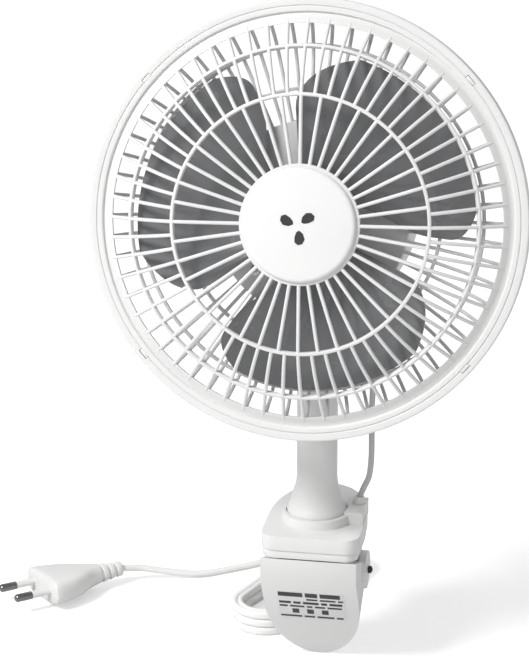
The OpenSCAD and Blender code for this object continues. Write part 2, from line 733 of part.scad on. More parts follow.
// Bush where the lead leaves the motor housing
module lead_bush() {
  color(white) on_head() translate([bush_x, bush_y - 2, -bolt_behind + 4]) rotate([90, 0, 0]) difference() {
    union() {
      cylinder(r = 2.6, h = 8, $fn = 32);
      translate([0, 0, 6.2]) cylinder(r1 = 3.2, r2 = 2, h = 6, $fn = 32);
    }
    translate([0, 0, -1]) cylinder(r = lead_d / 2, h = 20, $fn = 32);
  }
}

// Route of the lead beside the stem, in two lengths that meet at its middle
lead_top = [bush_x, head_y + (bush_y - 12) * cos(alpha) + (bolt_behind - 4) * sin(alpha),
  head_z + (bush_y - 12) * sin(alpha) - (bolt_behind - 4) * cos(alpha)];
lead_mid = [stem_d / 2 + 15, stem_y + 5.9, bolt_z - 36.5];
lead_foot = [grommet_x, grommet_y, top_z + pod_h + 2];
lead_upper = [
  lead_top + [0, 1.2, 6],
  lead_top,
  [22, stem_y + 3.9, bolt_z + 1.5],
  [24, stem_y + 4.9, bolt_z - 10.5],
  [24.8, stem_y + 5.9, bolt_z - 23.5],
  lead_mid
];
lead_lower = [
  lead_mid - [0, 0, 0.5],
  lead_mid + [0.1, 0.5, -12],
  [24.4, stem_y + 7.4, top_z + 28.5],
  [grommet_x + 4.4, stem_y + 7.9, top_z + 19.5],
  [grommet_x + 2, stem_y + 8.1, top_z + 13.5],
  lead_foot,
  lead_foot - [0, 0, 5]
];

module motor_lead_upper() {
  color("lightgrey") tube(lead_upper, [0, 1, 0], lead_d, lead_d, 8);
}

module motor_lead_lower() {
  color("lightgrey") tube(lead_lower, [0, 1, 0], lead_d, lead_d, 8);
}

shaft_z0 = stack_z - 8;
hub_z0 = -7;
hub_z1 = 8;
hub_r = 16;

module motor_shaft() {
  color(steel) on_head() translate([0, 0, shaft_z0]) cylinder(r = shaft_r, h = hub_z1 + 5 - shaft_z0, $fn = 48);
}

module rotor_core() {
  color(steel) on_head() translate([0, 0, stack_z]) difference() {
    cylinder(r = rotor_r, h = stack_l, $fn = 64);
    translate([0, 0, -1]) cylinder(r = shaft_r, h = stack_l + 2, $fn = 48);
  }
}

// Blade outline: angles of its leading and trailing edges at a radius, and its height across the sweep
blade_r = blade_d / 2;
blade_t = 1.6;
blade_lift = 16;
blade_low = -5;
blade_turn = 2;
function lead_edge(r) = r < 54 ? -7 + 16 * pow((54 - r) / 25, 2) : r > 62 ? -7 + 11.6 * pow((r - 62) / (blade_r - 62), 2.5) : -7;
function trail_edge(r) = r > 50 ? 94 - 23 * pow((r - 50) / (blade_r - 50), 2) : 94;
blade_radii = concat([hub_r - 1.5, 22, 30, 38, 46, 54, 62], [for (i = [1:4]) 62 + (blade_r - 62) * sin(22.5 * i)]);
blade_steps = 8;
function blade_at(r, k, side) =
  let (u = k / blade_steps, a = lead_edge(r) + (trail_edge(r) - lead_edge(r)) * u)
  [r * cos(a + blade_turn), r * sin(a + blade_turn), blade_low + blade_lift * (a + 7) / 101 + side * blade_t / 2];

module blade() {
  n = blade_steps + 1;
  m = len(blade_radii);
  half = n * m;
  points = [for (side = [-1, 1]) for (r = blade_radii) for (k = [0:blade_steps]) blade_at(r, k, side)];
  skins = [for (i = [0:m - 2]) for (k = [0:n - 2]) each [
    [i * n + k, (i + 1) * n + k, (i + 1) * n + k + 1], [i * n + k, (i + 1) * n + k + 1, i * n + k + 1],
    [half + i * n + k, half + (i + 1) * n + k + 1, half + (i + 1) * n + k],
    [half + i * n + k, half + i * n + k + 1, half + (i + 1) * n + k + 1]]];
  edge = concat([for (k = [0:n - 1]) k], [for (i = [1:m - 1]) i * n + n - 1],
    [for (k = [n - 2:-1:0]) (m - 1) * n + k], [for (i = [m - 2:-1:1]) i * n]);
  rim = [for (j = [0:len(edge) - 1]) let (p = edge[j], q = edge[(j + 1) % len(edge)]) each [
    [p, q, q + half], [p, q + half, p + half]]];
  polyhedron(points = points, faces = concat(skins, rim), convexity = 6);
}

module fan_blade() {
  color(blade_grey) on_head() difference() {
    union() {
      translate([0, 0, hub_z0]) cylinder(r = hub_r, h = hub_z1 - hub_z0, $fn = 64);
      for (i = [0:blade_n - 1]) rotate([0, 0, i * 360 / blade_n]) blade();
    }
    translate([0, 0, hub_z0 - eps]) difference() {
      cylinder(r = hub_r - 2, h = hub_z1 - hub_z0 - 2, $fn = 64);
      cylinder(r = 5, h = 40, $fn = 48);
    }
    translate([0, 0, hub_z0 - 5]) cylinder(r = shaft_r, h = 30, $fn = 48);
  }
}

module blade_nut() {
  color(blade_grey) on_head() translate([0, 0, hub_z1]) difference() {
    union() {
      cylinder(r = 6, h = 4, $fn = 48);
      translate([0, 0, 4]) cylinder(r1 = 6, r2 = 4, h = 3, $fn = 48);
    }
    translate([0, 0, -eps]) cylinder(r = shaft_r, h = 5 + eps, $fn = 48);
  }
}

// Mains cord: it drops from the gland to the hank behind the clamp, and runs on to the plug.
gland_end = [gland_x, gland_y + gland_len * sin(gland_tilt), tray_z - 1.6 - gland_len * cos(gland_tilt)];
hank_turn = 20;
hank_front = [-31, 49];
hank_run = 66;
hank_r = 16.8;
hank_h = 3 * cord_w;
function hank_at(u, v) = hank_front + u * [sin(hank_turn), cos(hank_turn)] + v * [cos(hank_turn), -sin(hank_turn)];

module hank_plan(r) {
  polygon(concat(
    [for (a = [0:15:180]) hank_at(-r * sin(a), r * cos(a))],
    [for (a = [0:15:180]) hank_at(hank_run + r * sin(a), -r * cos(a))]
  ));
}

drop_line = [
  gland_end,
  gland_end + [0, 5.4, -4.6],
  gland_end + [0, 12, -12],
  gland_end + [1, 20, -21.5],
  [-1, 90, floor_z + hank_h + 4.5],
  [1, 98, floor_z + hank_h - 0.6]
];
run_z = floor_z + cord_t / 2;
run_line = [
  [-4, 124, run_z],
  [-14, 128.5, run_z],
  [-26, 129.5, run_z],
  [-36, 124.5, run_z],
  [-44.4, 116.7, run_z],
  [-57, 106.7, run_z],
  [-73, 95.5, run_z + 0.4],
  [-90, 91, run_z + 2.6],
  [-102, 87.8, run_z + 5.2],
  [-111.2, 81.2, run_z + 6.9]
];

module mains_cord_drop() {
  color(white) tube(drop_line, [0, 0, 1], cord_w, cord_t, 8);
}

module mains_cord_run() {
  color(white) tube(run_line, [0, 0, 1], cord_w, cord_t, 8);
}

module cord_hank() {
  color(white) translate([0, 0, floor_z]) linear_extrude(hank_h) difference() {
    hank_plan(hank_r);
    hank_plan(hank_r - 2.2 * cord_t);
  }
}

module hank_tie() {
  color(dark) translate([0, 0, floor_z]) difference() {
    linear_extrude(hank_h + 0.8) polygon([
      hank_at(30, -hank_r - 0.8), hank_at(34, -hank_r - 0.8), hank_at(34, hank_r + 0.8), hank_at(30, hank_r + 0.8)]);
    translate([0, 0, -1]) linear_extrude(hank_h + 1) hank_plan(hank_r);
  }
}

// Plug, drawn along +Z from the cord's end to the pins' tips, then laid on its side
plug_at = run_line[len(run_line) - 1];
plug_head = 39.5;
plug_len = 44;
plug_w = 35.3;
plug_t = 13.7;
pin_pitch = 18.6;

module on_plug() {
  translate(plug_at) rotate([0, 0, plug_head]) rotate([0, -90, 0]) rotate([0, 0, 6]) children();
}

module plug_body() {
  color(white) on_plug() difference() {
    union() {
      hull() {
        translate([-plug_t / 2, -plug_w / 2, plug_len - 5]) linear_extrude(5) polygon([
          [3, 0], [plug_t - 3, 0], [plug_t, 4], [plug_t, plug_w - 4], [plug_t - 3, plug_w], [3, plug_w], [0, plug_w - 4], [0, 4]]);
        translate([0, 0, 15]) cylinder(r = 5.6, h = 4, $fn = 24);
      }
      hull() {
        cylinder(r = 3.6, h = 1, $fn = 24);
        translate([0, 0, 14]) cylinder(r = 5.4, h = 3, $fn = 24);
      }
    }
    for (s = [-1, 1]) translate([0, s * pin_pitch / 2, plug_len - 3]) cylinder(r = 1.8, h = 4, $fn = 32);
    for (i = [0:2]) translate([-8, -8, 3 + 4 * i]) difference() {
      cube([16, 16, 1.6]);
      translate([0, 6.6, -1]) cube([16, 2.8, 4]);
      translate([8, 8, -1]) cylinder(r = 3, h = 4, $fn = 24);
    }
  }
}

module pin_sleeves() {
  color(white) on_plug() for (s = [-1, 1]) translate([0, s * pin_pitch / 2, plug_len - 3]) difference() {
    cylinder(r = 1.8, h = 13, $fn = 32);
    translate([0, 0, -eps]) cylinder(r = 1.4, h = 14, $fn = 32);
  }
}

module plug_pins() {
  color(dark) on_plug() for (s = [-1, 1]) translate([0, s * pin_pitch / 2, plug_len - 3]) {
    cylinder(r = 1.4, h = 13, $fn = 32);
    translate([0, 0, 13]) cylinder(r = 2, h = 8, $fn = 32);
    translate([0, 0, 21]) cylinder(r1 = 2, r2 = 1.2, h = 1, $fn = 32);
  }
}

upper_cover();
upper_tray();
upper_pad();
tray_screws();
hinge_pin();
pin_caps();
clamp_spring();
switch_body();
switch_knob();
terminal_block();
cord_clamp();
cord_gland();
lead_grommet();
swivel_washer();
lower_jaw();
lower_pad();
rating_label();
stem();
swivel_retainer();
retainer_screw();
tilt_bolt();
tilt_nut();
motor_housing_front();
motor_housing_rear();
housing_screws();
rear_guard();
guard_screws();
front_guard();
guard_clips();
badge_cap();
stator_core();
field_coil();
front_bracket();
rear_bracket();
front_bearing();
rear_bearing();
motor_screws();
lead_bush();
motor_lead_upper();
motor_lead_lower();
motor_shaft();
rotor_core();
fan_blade();
blade_nut();
mains_cord_drop();
cord_hank();
hank_tie();
mains_cord_run();
plug_body();
pin_sleeves();
plug_pins();
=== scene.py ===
"""Clip-on fan: the finished look of each piece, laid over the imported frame. Lengths are millimetres."""
import json
from math import atan2, cos, hypot, pi, radians, sin, sqrt, tan

import bmesh
import bpy
from mathutils import Matrix, Vector


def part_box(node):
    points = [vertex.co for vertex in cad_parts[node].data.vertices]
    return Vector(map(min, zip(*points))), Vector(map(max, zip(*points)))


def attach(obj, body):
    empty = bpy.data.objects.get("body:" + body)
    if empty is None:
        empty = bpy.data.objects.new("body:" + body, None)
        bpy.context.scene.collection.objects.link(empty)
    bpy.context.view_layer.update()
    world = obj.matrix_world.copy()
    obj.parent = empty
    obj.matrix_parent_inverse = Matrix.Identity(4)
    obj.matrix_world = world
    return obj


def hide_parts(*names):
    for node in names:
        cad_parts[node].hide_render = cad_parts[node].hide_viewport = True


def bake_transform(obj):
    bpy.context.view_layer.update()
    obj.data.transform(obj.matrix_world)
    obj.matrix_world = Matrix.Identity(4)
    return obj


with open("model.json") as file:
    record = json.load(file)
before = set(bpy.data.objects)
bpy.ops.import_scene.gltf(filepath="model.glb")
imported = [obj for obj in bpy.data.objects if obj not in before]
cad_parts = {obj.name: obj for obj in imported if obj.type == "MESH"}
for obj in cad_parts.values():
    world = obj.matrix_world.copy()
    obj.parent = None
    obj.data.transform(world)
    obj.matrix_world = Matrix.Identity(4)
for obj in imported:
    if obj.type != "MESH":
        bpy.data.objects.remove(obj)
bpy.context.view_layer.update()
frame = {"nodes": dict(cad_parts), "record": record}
record = frame["record"]
MM = 0.001

# ---------------------------------------------------------------- places shared with the frame
FLOOR_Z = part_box("lower_jaw")[0][2] / MM
PIN = Vector((0, 14.1, -14.5))
STEM_Y = 11.1
BOLT_Z = 100.5
HEAD = Matrix.Translation((0, -21.836, 166.796)) @ Matrix.Rotation(radians(78), 4, "X")
JAW_FRONT_Y, BAND_Z, LIP_Z, JAW_REACH = -14.4, -10.2, 0.2, 28.5
CLAMP_FACE = Matrix.Translation((0, JAW_FRONT_Y, BAND_Z)) @ Matrix.Rotation(radians(-57), 4, "X")

# The head, from its axis outwards: shaft, hub, cap, flat of the face, inside of the rim wall, guards
SHAFT_R, HUB_R, CAP_R, FLAT_R, WALL_R, GUARD_R = 2, 16, 25, 50, 92, 98
FACE_Z, SHELL_T, RIM_T = 22.5, 2.2, 2.5
REAR_Z = -11
OUTER_RING_R = 77
BLADE_R = 75

slot_of = {part["node"]: part["material_slot"] for part in record["subparts"]}
body_of = {node: body for body, nodes in record["behaviour"]["bodies"].items() for node in nodes}


# ---------------------------------------------------------------- camera, floor and lights
def aim(obj, place, forward):
    obj.location = place
    obj.rotation_mode = "QUATERNION"
    obj.rotation_quaternion = forward.to_track_quat("-Z", "Y")


def set_camera(azimuth, elevation, distance, pan, tilt, lens):
    a, e = radians(azimuth), radians(elevation)
    back = Vector((sin(a) * cos(e), -cos(a) * cos(e), sin(e)))
    right = (-back).cross(Vector((0, 0, 1))).normalized()
    up = right.cross(-back)
    camera = bpy.data.objects.new("camera", bpy.data.cameras.new("camera"))
    bpy.context.scene.collection.objects.link(camera)
    camera.data.lens = lens
    camera.data.clip_end = 20
    forward = -back + right * tan(radians(pan)) + up * tan(radians(tilt))
    aim(camera, (Vector((0, 0, 60)) + back * distance) * MM, forward.normalized())
    bpy.context.scene.camera = camera


def add_light(name, place, target, size, power, colour=(1, 1, 1)):
    lamp = bpy.data.lights.new(name, "AREA")
    lamp.shape = "DISK"
    lamp.size = size
    lamp.energy = power
    lamp.color = colour
    light = bpy.data.objects.new(name, lamp)
    bpy.context.scene.collection.objects.link(light)
    aim(light, Vector(place), (Vector(target) - Vector(place)).normalized())


set_camera(8.98, 21.2, 1300, -1.01, 2.05, 155.0)
add_light("key", (-1.2, -1.3, 1.7), (0, 0, 0.08), 0.7, 50)
add_light("fill", (1.5, -1.3, 0.8), (0, 0, 0.08), 1.4, 1.5)
add_light("rim", (0.3, 1.5, 1.2), (0, 0, 0.1), 1.2, 5)
world = bpy.data.worlds.new("studio")
bpy.context.scene.world = world
bpy.context.scene.view_settings.view_transform = "Standard"
world.use_nodes = True
world.node_tree.nodes["Background"].inputs["Color"].default_value = (1, 1, 1, 1)
world.node_tree.nodes["Background"].inputs["Strength"].default_value = 0.42


# ---------------------------------------------------------------- shader groups and finishes
def shader_group(name, inputs, outputs):
    tree = bpy.data.node_groups.new(name, "ShaderNodeTree")
    for label, kind, value in inputs:
        socket = tree.interface.new_socket(label, in_out="INPUT", socket_type=kind)
        if value is not None:
            socket.default_value = value
    for label, kind in outputs:
        tree.interface.new_socket(label, in_out="OUTPUT", socket_type=kind)
    return tree, tree.nodes.new("NodeGroupInput"), tree.nodes.new("NodeGroupOutput")


def add_node(tree, kind, settings=None, **inputs):
    node = tree.nodes.new(kind)
    for key, value in (settings or {}).items():
        setattr(node, key, value)
    for key, value in inputs.items():
        numbered = key[0] == "i" and key[1:].isdigit()
        socket = node.inputs[int(key[1:]) if numbered else key.replace("_", " ")]
        if isinstance(value, bpy.types.NodeSocket):
            tree.links.new(value, socket)
        else:
            socket.default_value = value
    return node


FLOAT, COLOUR, VECTOR = "NodeSocketFloat", "NodeSocketColor", "NodeSocketVector"


def moulded_skin_group():
    """Moulded plastic: cloudy colour, uneven gloss, a fine pebble and a few soft flow waves."""
    tree, start, end = shader_group(
        "moulded skin",
        [("Colour", COLOUR, (0.9, 0.9, 0.9, 1)), ("Cloud", FLOAT, 0.04), ("Gloss", FLOAT, 0.4),
         ("Gloss drift", FLOAT, 0.1), ("Pebble", FLOAT, 1800.0), ("Depth", FLOAT, 0.1)],
        [("Colour", COLOUR), ("Roughness", FLOAT), ("Normal", VECTOR)])
    place = add_node(tree, "ShaderNodeTexCoord").outputs["Object"]
    cloud = add_node(tree, "ShaderNodeTexNoise", Vector=place, Scale=22.0, Detail=3.0).outputs["Fac"]
    shade = add_node(tree, "ShaderNodeMapRange", Value=cloud, i1=0.3, i2=0.7, i3=-0.5, i4=0.5).outputs[0]
    amount = add_node(tree, "ShaderNodeMath", {"operation": "MULTIPLY"}, i0=shade,
                      i1=start.outputs["Cloud"]).outputs[0]
    bright = add_node(tree, "ShaderNodeMath", {"operation": "ADD"}, i0=amount, i1=1.0).outputs[0]
    colour = add_node(tree, "ShaderNodeHueSaturation", Value=bright,
                      Color=start.outputs["Colour"]).outputs[0]
    smear = add_node(tree, "ShaderNodeTexNoise", Vector=place, Scale=60.0, Detail=4.0).outputs["Fac"]
    centred = add_node(tree, "ShaderNodeMath", {"operation": "SUBTRACT"}, i0=smear, i1=0.5).outputs[0]
    drift = add_node(tree, "ShaderNodeMath", {"operation": "MULTIPLY_ADD"}, i0=centred,
                     i1=start.outputs["Gloss drift"], i2=start.outputs["Gloss"]).outputs[0]
    pebble = add_node(tree, "ShaderNodeTexNoise", Vector=place, Scale=start.outputs["Pebble"],
                      Detail=2.0).outputs["Fac"]
    wave = add_node(tree, "ShaderNodeTexNoise", Vector=place, Scale=35.0, Detail=0.0).outputs["Fac"]
    height = add_node(tree, "ShaderNodeMath", {"operation": "MULTIPLY_ADD"}, i0=wave, i1=3.0,
                      i2=pebble).outputs[0]
    bump = add_node(tree, "ShaderNodeBump", Height=height, Strength=start.outputs["Depth"],
                    Distance=0.00012).outputs[0]
    tree.links.new(colour, end.inputs["Colour"])
    tree.links.new(drift, end.inputs["Roughness"])
    tree.links.new(bump, end.inputs["Normal"])
    return tree


def worked_metal_group():
    """Drawn or pressed metal: streaks along one way and a duller tone in patches."""
    tree, start, end = shader_group(
        "worked metal",
        [("Colour", COLOUR, (0.7, 0.7, 0.7, 1)), ("Stretch", VECTOR, (200, 2500, 2500)),
         ("Gloss", FLOAT, 0.3), ("Streak", FLOAT, 0.2), ("Depth", FLOAT, 0.2)],
        [("Colour", COLOUR), ("Roughness", FLOAT), ("Normal", VECTOR)])
    place = add_node(tree, "ShaderNodeTexCoord").outputs["Object"]
    drawn = add_node(tree, "ShaderNodeVectorMath", {"operation": "MULTIPLY"}, i0=place,
                     i1=start.outputs["Stretch"]).outputs[0]
    streak = add_node(tree, "ShaderNodeTexNoise", Vector=drawn, Scale=1.0, Detail=3.0).outputs["Fac"]
    patch = add_node(tree, "ShaderNodeTexNoise", Vector=place, Scale=140.0, Detail=2.0).outputs["Fac"]
    both = add_node(tree, "ShaderNodeMath", {"operation": "ADD"}, i0=streak, i1=patch).outputs[0]
    centred = add_node(tree, "ShaderNodeMath", {"operation": "SUBTRACT"}, i0=both, i1=1.0).outputs[0]
    amount = add_node(tree, "ShaderNodeMath", {"operation": "MULTIPLY"}, i0=centred,
                      i1=start.outputs["Streak"]).outputs[0]
    bright = add_node(tree, "ShaderNodeMath", {"operation": "ADD"}, i0=amount, i1=1.0).outputs[0]
    colour = add_node(tree, "ShaderNodeHueSaturation", Value=bright,
                      Color=start.outputs["Colour"]).outputs[0]
    rough = add_node(tree, "ShaderNodeMath", {"operation": "ADD"}, i0=start.outputs["Gloss"],
                     i1=amount).outputs[0]
    bump = add_node(tree, "ShaderNodeBump", Height=streak, Strength=start.outputs["Depth"],
                    Distance=0.00005).outputs[0]
    tree.links.new(colour, end.inputs["Colour"])
    tree.links.new(rough, end.inputs["Roughness"])
    tree.links.new(bump, end.inputs["Normal"])
    return tree


moulded_skin = moulded_skin_group()
worked_metal = worked_metal_group()


def new_finish(name, group, shader=None, **values):
    """A material whose shader takes its colour, roughness and normal from one of the groups."""
    material = bpy.data.materials.new(name)
    material.use_nodes = True
    tree = material.node_tree
    skin = tree.nodes.new("ShaderNodeGroup")
    skin.node_tree = group
    for label, value in values.items():
        skin.inputs[label.replace("_", " ")].default_value = value
    principled = tree.nodes["Principled BSDF"]
    for label, value in (shader or {}).items():
        principled.inputs[label].default_value = value
    tree.links.new(skin.outputs["Colour"], principled.inputs["Base Color"])
    tree.links.new(skin.outputs["Roughness"], principled.inputs["Roughness"])
    tree.links.new(skin.outputs["Normal"], principled.inputs["Normal"])
    return material


def grey(value, tint=0.0):
    return (value, value, value - tint, 1)


METAL = {"Metallic": 1.0}
finishes = {
    "white_plastic": new_finish("white_plastic", moulded_skin,
                                {"Coat Weight": 0.12, "Coat Roughness": 0.25},
                                Colour=grey(0.74, 0.006), Cloud=0.03, Gloss=0.38, Depth=0.1),
    "cap_plastic": new_finish("cap_plastic", moulded_skin, {"Coat Weight": 0.2, "Coat Roughness": 0.15},
                              Colour=grey(0.8, 0.004), Cloud=0.02, Gloss=0.3, Gloss_drift=0.08, Depth=0.05),
    "grey_blade": new_finish("grey_blade", moulded_skin, {"Coat Weight": 0.6, "Coat Roughness": 0.08},
                             Colour=(0.15, 0.153, 0.16, 1), Cloud=0.06, Gloss=0.26, Gloss_drift=0.12,
                             Depth=0.12),
    "black_plastic": new_finish("black_plastic", moulded_skin, Colour=grey(0.02), Cloud=0.2, Gloss=0.5,
                                Pebble=2600.0, Depth=0.4),
    "nylon": new_finish("nylon", moulded_skin, {"Subsurface Weight": 0.05}, Colour=(0.74, 0.72, 0.64, 1),
                        Gloss=0.45),
    "white_flex": new_finish("white_flex", moulded_skin, Colour=grey(0.78, 0.008), Gloss=0.5, Depth=0.2),
    "cord_white": new_finish("cord_white", moulded_skin, Colour=grey(0.84, 0.01), Cloud=0.05, Gloss=0.5,
                             Depth=0.25),
    "plug_white": new_finish("plug_white", moulded_skin, Colour=grey(0.76, 0.008), Cloud=0.04, Gloss=0.42,
                             Depth=0.2),
    "lead_grey": new_finish("lead_grey", moulded_skin, Colour=grey(0.5, 0.004), Cloud=0.06, Gloss=0.48,
                            Depth=0.2),
    "label_foil": new_finish("label_foil", moulded_skin, Colour=grey(0.72), Cloud=0.03, Gloss=0.4,
                             Pebble=900.0, Depth=0.1),
    "pad_rubber": new_finish("pad_rubber", moulded_skin, Colour=grey(0.03), Cloud=0.3, Gloss=0.75,
                             Pebble=3000.0, Depth=0.6),
    "zinc_steel": new_finish("zinc_steel", worked_metal, METAL, Colour=grey(0.62), Gloss=0.3),
    "spring_steel": new_finish("spring_steel", worked_metal, METAL, Colour=grey(0.42), Gloss=0.32,
                               Streak=0.3),
    "shaft_steel": new_finish("shaft_steel", worked_metal, METAL, Colour=grey(0.6), Gloss=0.2, Streak=0.1),
    "lamination_steel": new_finish("lamination_steel", worked_metal, METAL, Colour=grey(0.2), Gloss=0.45,
                                   Stretch=(60, 60, 4000), Depth=0.8),
    "coil_wire": new_finish("coil_wire", worked_metal, METAL, Colour=(0.5, 0.16, 0.05, 1), Gloss=0.3,
                            Stretch=(3000, 60, 3000), Depth=1.0),
    "bearing_bronze": new_finish("bearing_bronze", worked_metal, METAL, Colour=(0.5, 0.3, 0.1, 1),
                                 Gloss=0.4),
    "pin_metal": new_finish("pin_metal", worked_metal, METAL, Colour=grey(0.22), Gloss=0.28),
}
printed_ink = new_finish("printed_ink", moulded_skin, Colour=grey(0.03), Cloud=0.3, Gloss=0.5)
floor_paint = new_finish("floor_paint", moulded_skin, {"Emission Color": (1, 1, 1, 1)}, Colour=grey(0.8),
                         Cloud=0.01, Gloss=0.8, Depth=0.02)


def lift_floor(tree, amount):
    """The floor looks this much brighter to the camera, and lights nothing."""
    seen = add_node(tree, "ShaderNodeLightPath").outputs["Is Camera Ray"]
    lift = add_node(tree, "ShaderNodeMath", {"operation": "MULTIPLY"}, i0=seen, i1=amount).outputs[0]
    tree.links.new(lift, tree.nodes["Principled BSDF"].inputs["Emission Strength"])


lift_floor(floor_paint.node_tree, 0.42)


# ---------------------------------------------------------------- making meshes
def new_object(name, mesh, material):
    obj = bpy.data.objects.new(name, mesh)
    bpy.context.scene.collection.objects.link(obj)
    mesh.materials.clear()
    mesh.materials.append(material)
    return obj


def tube_faces(rings, count):
    """Faces of a closed tube whose rings have this many points each."""
    faces = []
    for i in range(rings - 1):
        here, ahead = i * count, (i + 1) * count
        for k in range(count):
            after = (k + 1) % count
            faces.append([here + k, here + after, ahead + after, ahead + k])
    return faces + [list(range(count)), [ahead + k for k in range(count)]]


def from_shapes(name, points, faces, material, placed=Matrix.Identity(4), smooth=True):
    """A mesh of millimetre points, put in its place and turned into metres."""
    mesh = bpy.data.meshes.new(name)
    mesh.from_pydata([(placed @ Vector(p)) * MM for p in points], [], faces)
    mesh.polygons.foreach_set("use_smooth", [smooth] * len(mesh.polygons))
    obj = new_object(name, mesh, material)
    bm = bmesh.new()
    bm.from_mesh(mesh)
    bmesh.ops.remove_doubles(bm, verts=bm.verts, dist=1e-6)
    bmesh.ops.recalc_face_normals(bm, faces=bm.faces)
    bm.to_mesh(mesh)
    bm.free()
    return obj


def settle(obj):
    """Turns an object with modifiers into a plain mesh with none."""
    bpy.context.view_layer.update()
    mesh = bpy.data.meshes.new_from_object(obj.evaluated_get(bpy.context.evaluated_depsgraph_get()))
    obj.modifiers.clear()
    obj.data = mesh
    return obj


def ease_edges(obj, width, segments=2, angle=35):
    bevel = obj.modifiers.new("eased", "BEVEL")
    bevel.width = width * MM
    bevel.segments = segments
    bevel.limit_method = "ANGLE"
    bevel.angle_limit = radians(angle)
    bevel.use_clamp_overlap = True
    bevel.harden_normals = False
    settle(obj)
    smooth_by_angle(obj, 40)
    return obj


def smooth_by_angle(obj, angle):
    bm = bmesh.new()
    bm.from_mesh(obj.data)
    for face in bm.faces:
        face.smooth = True
    for edge in bm.edges:
        edge.smooth = len(edge.link_faces) == 2 and edge.calc_face_angle(0) < radians(angle)
    bm.to_mesh(obj.data)
    bm.free()


def place_piece(obj, *nodes):
    """The piece stands for these CAD nodes and rides where the first of them rides."""
    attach(obj, body_of[nodes[0]])
    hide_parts(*nodes)
    return obj


def eased_copy(node, width, segments=2, angle=35):
    """The CAD node's own shape with its edges rounded over."""
    mesh = frame["nodes"][node].data.copy()
    obj = new_object(node + "_shell", mesh, finishes[slot_of[node]])
    bm = bmesh.new()
    bm.from_mesh(mesh)
    bmesh.ops.remove_doubles(bm, verts=bm.verts, dist=2e-6)
    bmesh.ops.dissolve_limit(bm, angle_limit=radians(0.6), verts=bm.verts, edges=bm.edges)
    bm.to_mesh(mesh)
    bm.free()
    ease_edges(obj, width, segments, angle)
    return place_piece(obj, node)


def turned(name, outline, material, placed=HEAD, steps=192):
    """A closed outline of [radius, height] points turned about the axis."""
    count = len(outline)
    angles = [2 * pi * i / steps for i in range(steps)]
    points = [(r * cos(a), r * sin(a), z) for a in angles for r, z in outline]
    faces = []
    for i in range(steps):
        a, b = i * count, (i + 1) % steps * count
        for k in range(count):
            n = (k + 1) % count
            if outline[k][0] > 0 or outline[n][0] > 0:
                faces.append([a + k, a + n, b + n, b + k])
    obj = from_shapes(name, points, faces, material, placed)
    bm = bmesh.new()
    bm.from_mesh(obj.data)
    bmesh.ops.dissolve_degenerate(bm, edges=bm.edges, dist=1e-7)
    bmesh.ops.recalc_face_normals(bm, faces=bm.faces)
    bm.to_mesh(obj.data)
    bm.free()
    smooth_by_angle(obj, 35)
    return obj


def rounded_outline(corners, radius, steps=4):
    """Rounds each corner of a closed outline; a corner may carry its own radius as a third number."""
    result = []
    count = len(corners)
    for i, corner in enumerate(corners):
        here = Vector(corner[:2])
        size = corner[2] if len(corner) > 2 else radius
        to_before = Vector(corners[i - 1][:2]) - here
        to_after = Vector(corners[(i + 1) % count][:2]) - here
        size = min(size, to_before.length * 0.45, to_after.length * 0.45)
        if size <= 0:
            result.append(tuple(here))
            continue
        first, last = here + to_before.normalized() * size, here + to_after.normalized() * size
        for k in range(steps + 1):
            t = k / steps
            result.append(tuple(first * (1 - t) ** 2 + here * 2 * t * (1 - t) + last * t ** 2))
    return result


def join_into(name, objects):
    """One mesh from several, keeping their materials."""
    bm = bmesh.new()
    materials = []
    for obj in objects:
        shift = len(materials)
        materials += list(obj.data.materials)
        before = len(bm.faces)
        bm.from_mesh(obj.data)
        bm.faces.ensure_lookup_table()
        for face in bm.faces[before:]:
            face.material_index += shift
    mesh = bpy.data.meshes.new(name)
    bm.to_mesh(mesh)
    bm.free()
    distinct = list(dict.fromkeys(materials))
    for polygon in mesh.polygons:
        polygon.material_index = distinct.index(materials[polygon.material_index])
    for material in distinct:
        mesh.materials.append(material)
    obj = bpy.data.objects.new(name, mesh)
    bpy.context.scene.collection.objects.link(obj)
    for old in objects:
        bpy.data.objects.remove(old)
    return obj


# ---------------------------------------------------------------- cords
def curve_at(t, before, p1, p2, after):
    """The value a share of the way from p1 to p2 on a smooth curve that knows the values on either side."""
    return 0.5 * (2 * p1 + (p2 - before) * t + (2 * before - 5 * p1 + 4 * p2 - after) * t ** 2
                  + (3 * p1 - before - 3 * p2 + after) * t ** 3)


def smooth_line(points, step):
    """Points along a smooth curve through the given ones; a fourth number is carried along with them."""
    size = len(points[0])
    dense = []
    for i in range(len(points) - 1):
        before, p1, p2 = points[max(i - 1, 0)], points[i], points[i + 1]
        after = points[min(i + 2, len(points) - 1)]
        span = sqrt(sum((p2[k] - p1[k]) ** 2 for k in range(3)))
        cuts = max(1, round(span / step * 3))
        for c in range(cuts):
            t = c / cuts
            dense.append([curve_at(t, before[k], p1[k], p2[k], after[k]) for k in range(size)])
    dense.append(list(points[-1]))
    return even_line(dense, step)


def even_line(dense, step):
    """The same line with its points one step apart."""
    size = len(dense[0])
    lengths = [0.0]
    for a, b in zip(dense, dense[1:]):
        lengths.append(lengths[-1] + sqrt(sum((b[k] - a[k]) ** 2 for k in range(3))))
    count = max(2, round(lengths[-1] / step))
    result, j = [], 0
    for i in range(count + 1):
        want = lengths[-1] * i / count
        while j < len(lengths) - 2 and lengths[j + 1] < want:
            j += 1
        t = (want - lengths[j]) / max(lengths[j + 1] - lengths[j], 1e-9)
        result.append([dense[j][k] + (dense[j + 1][k] - dense[j][k]) * t for k in range(size)])
    return result


def line_length(line):
    return sum(hypot(*(b[k] - a[k] for k in range(3))) for a, b in zip(line, line[1:]))


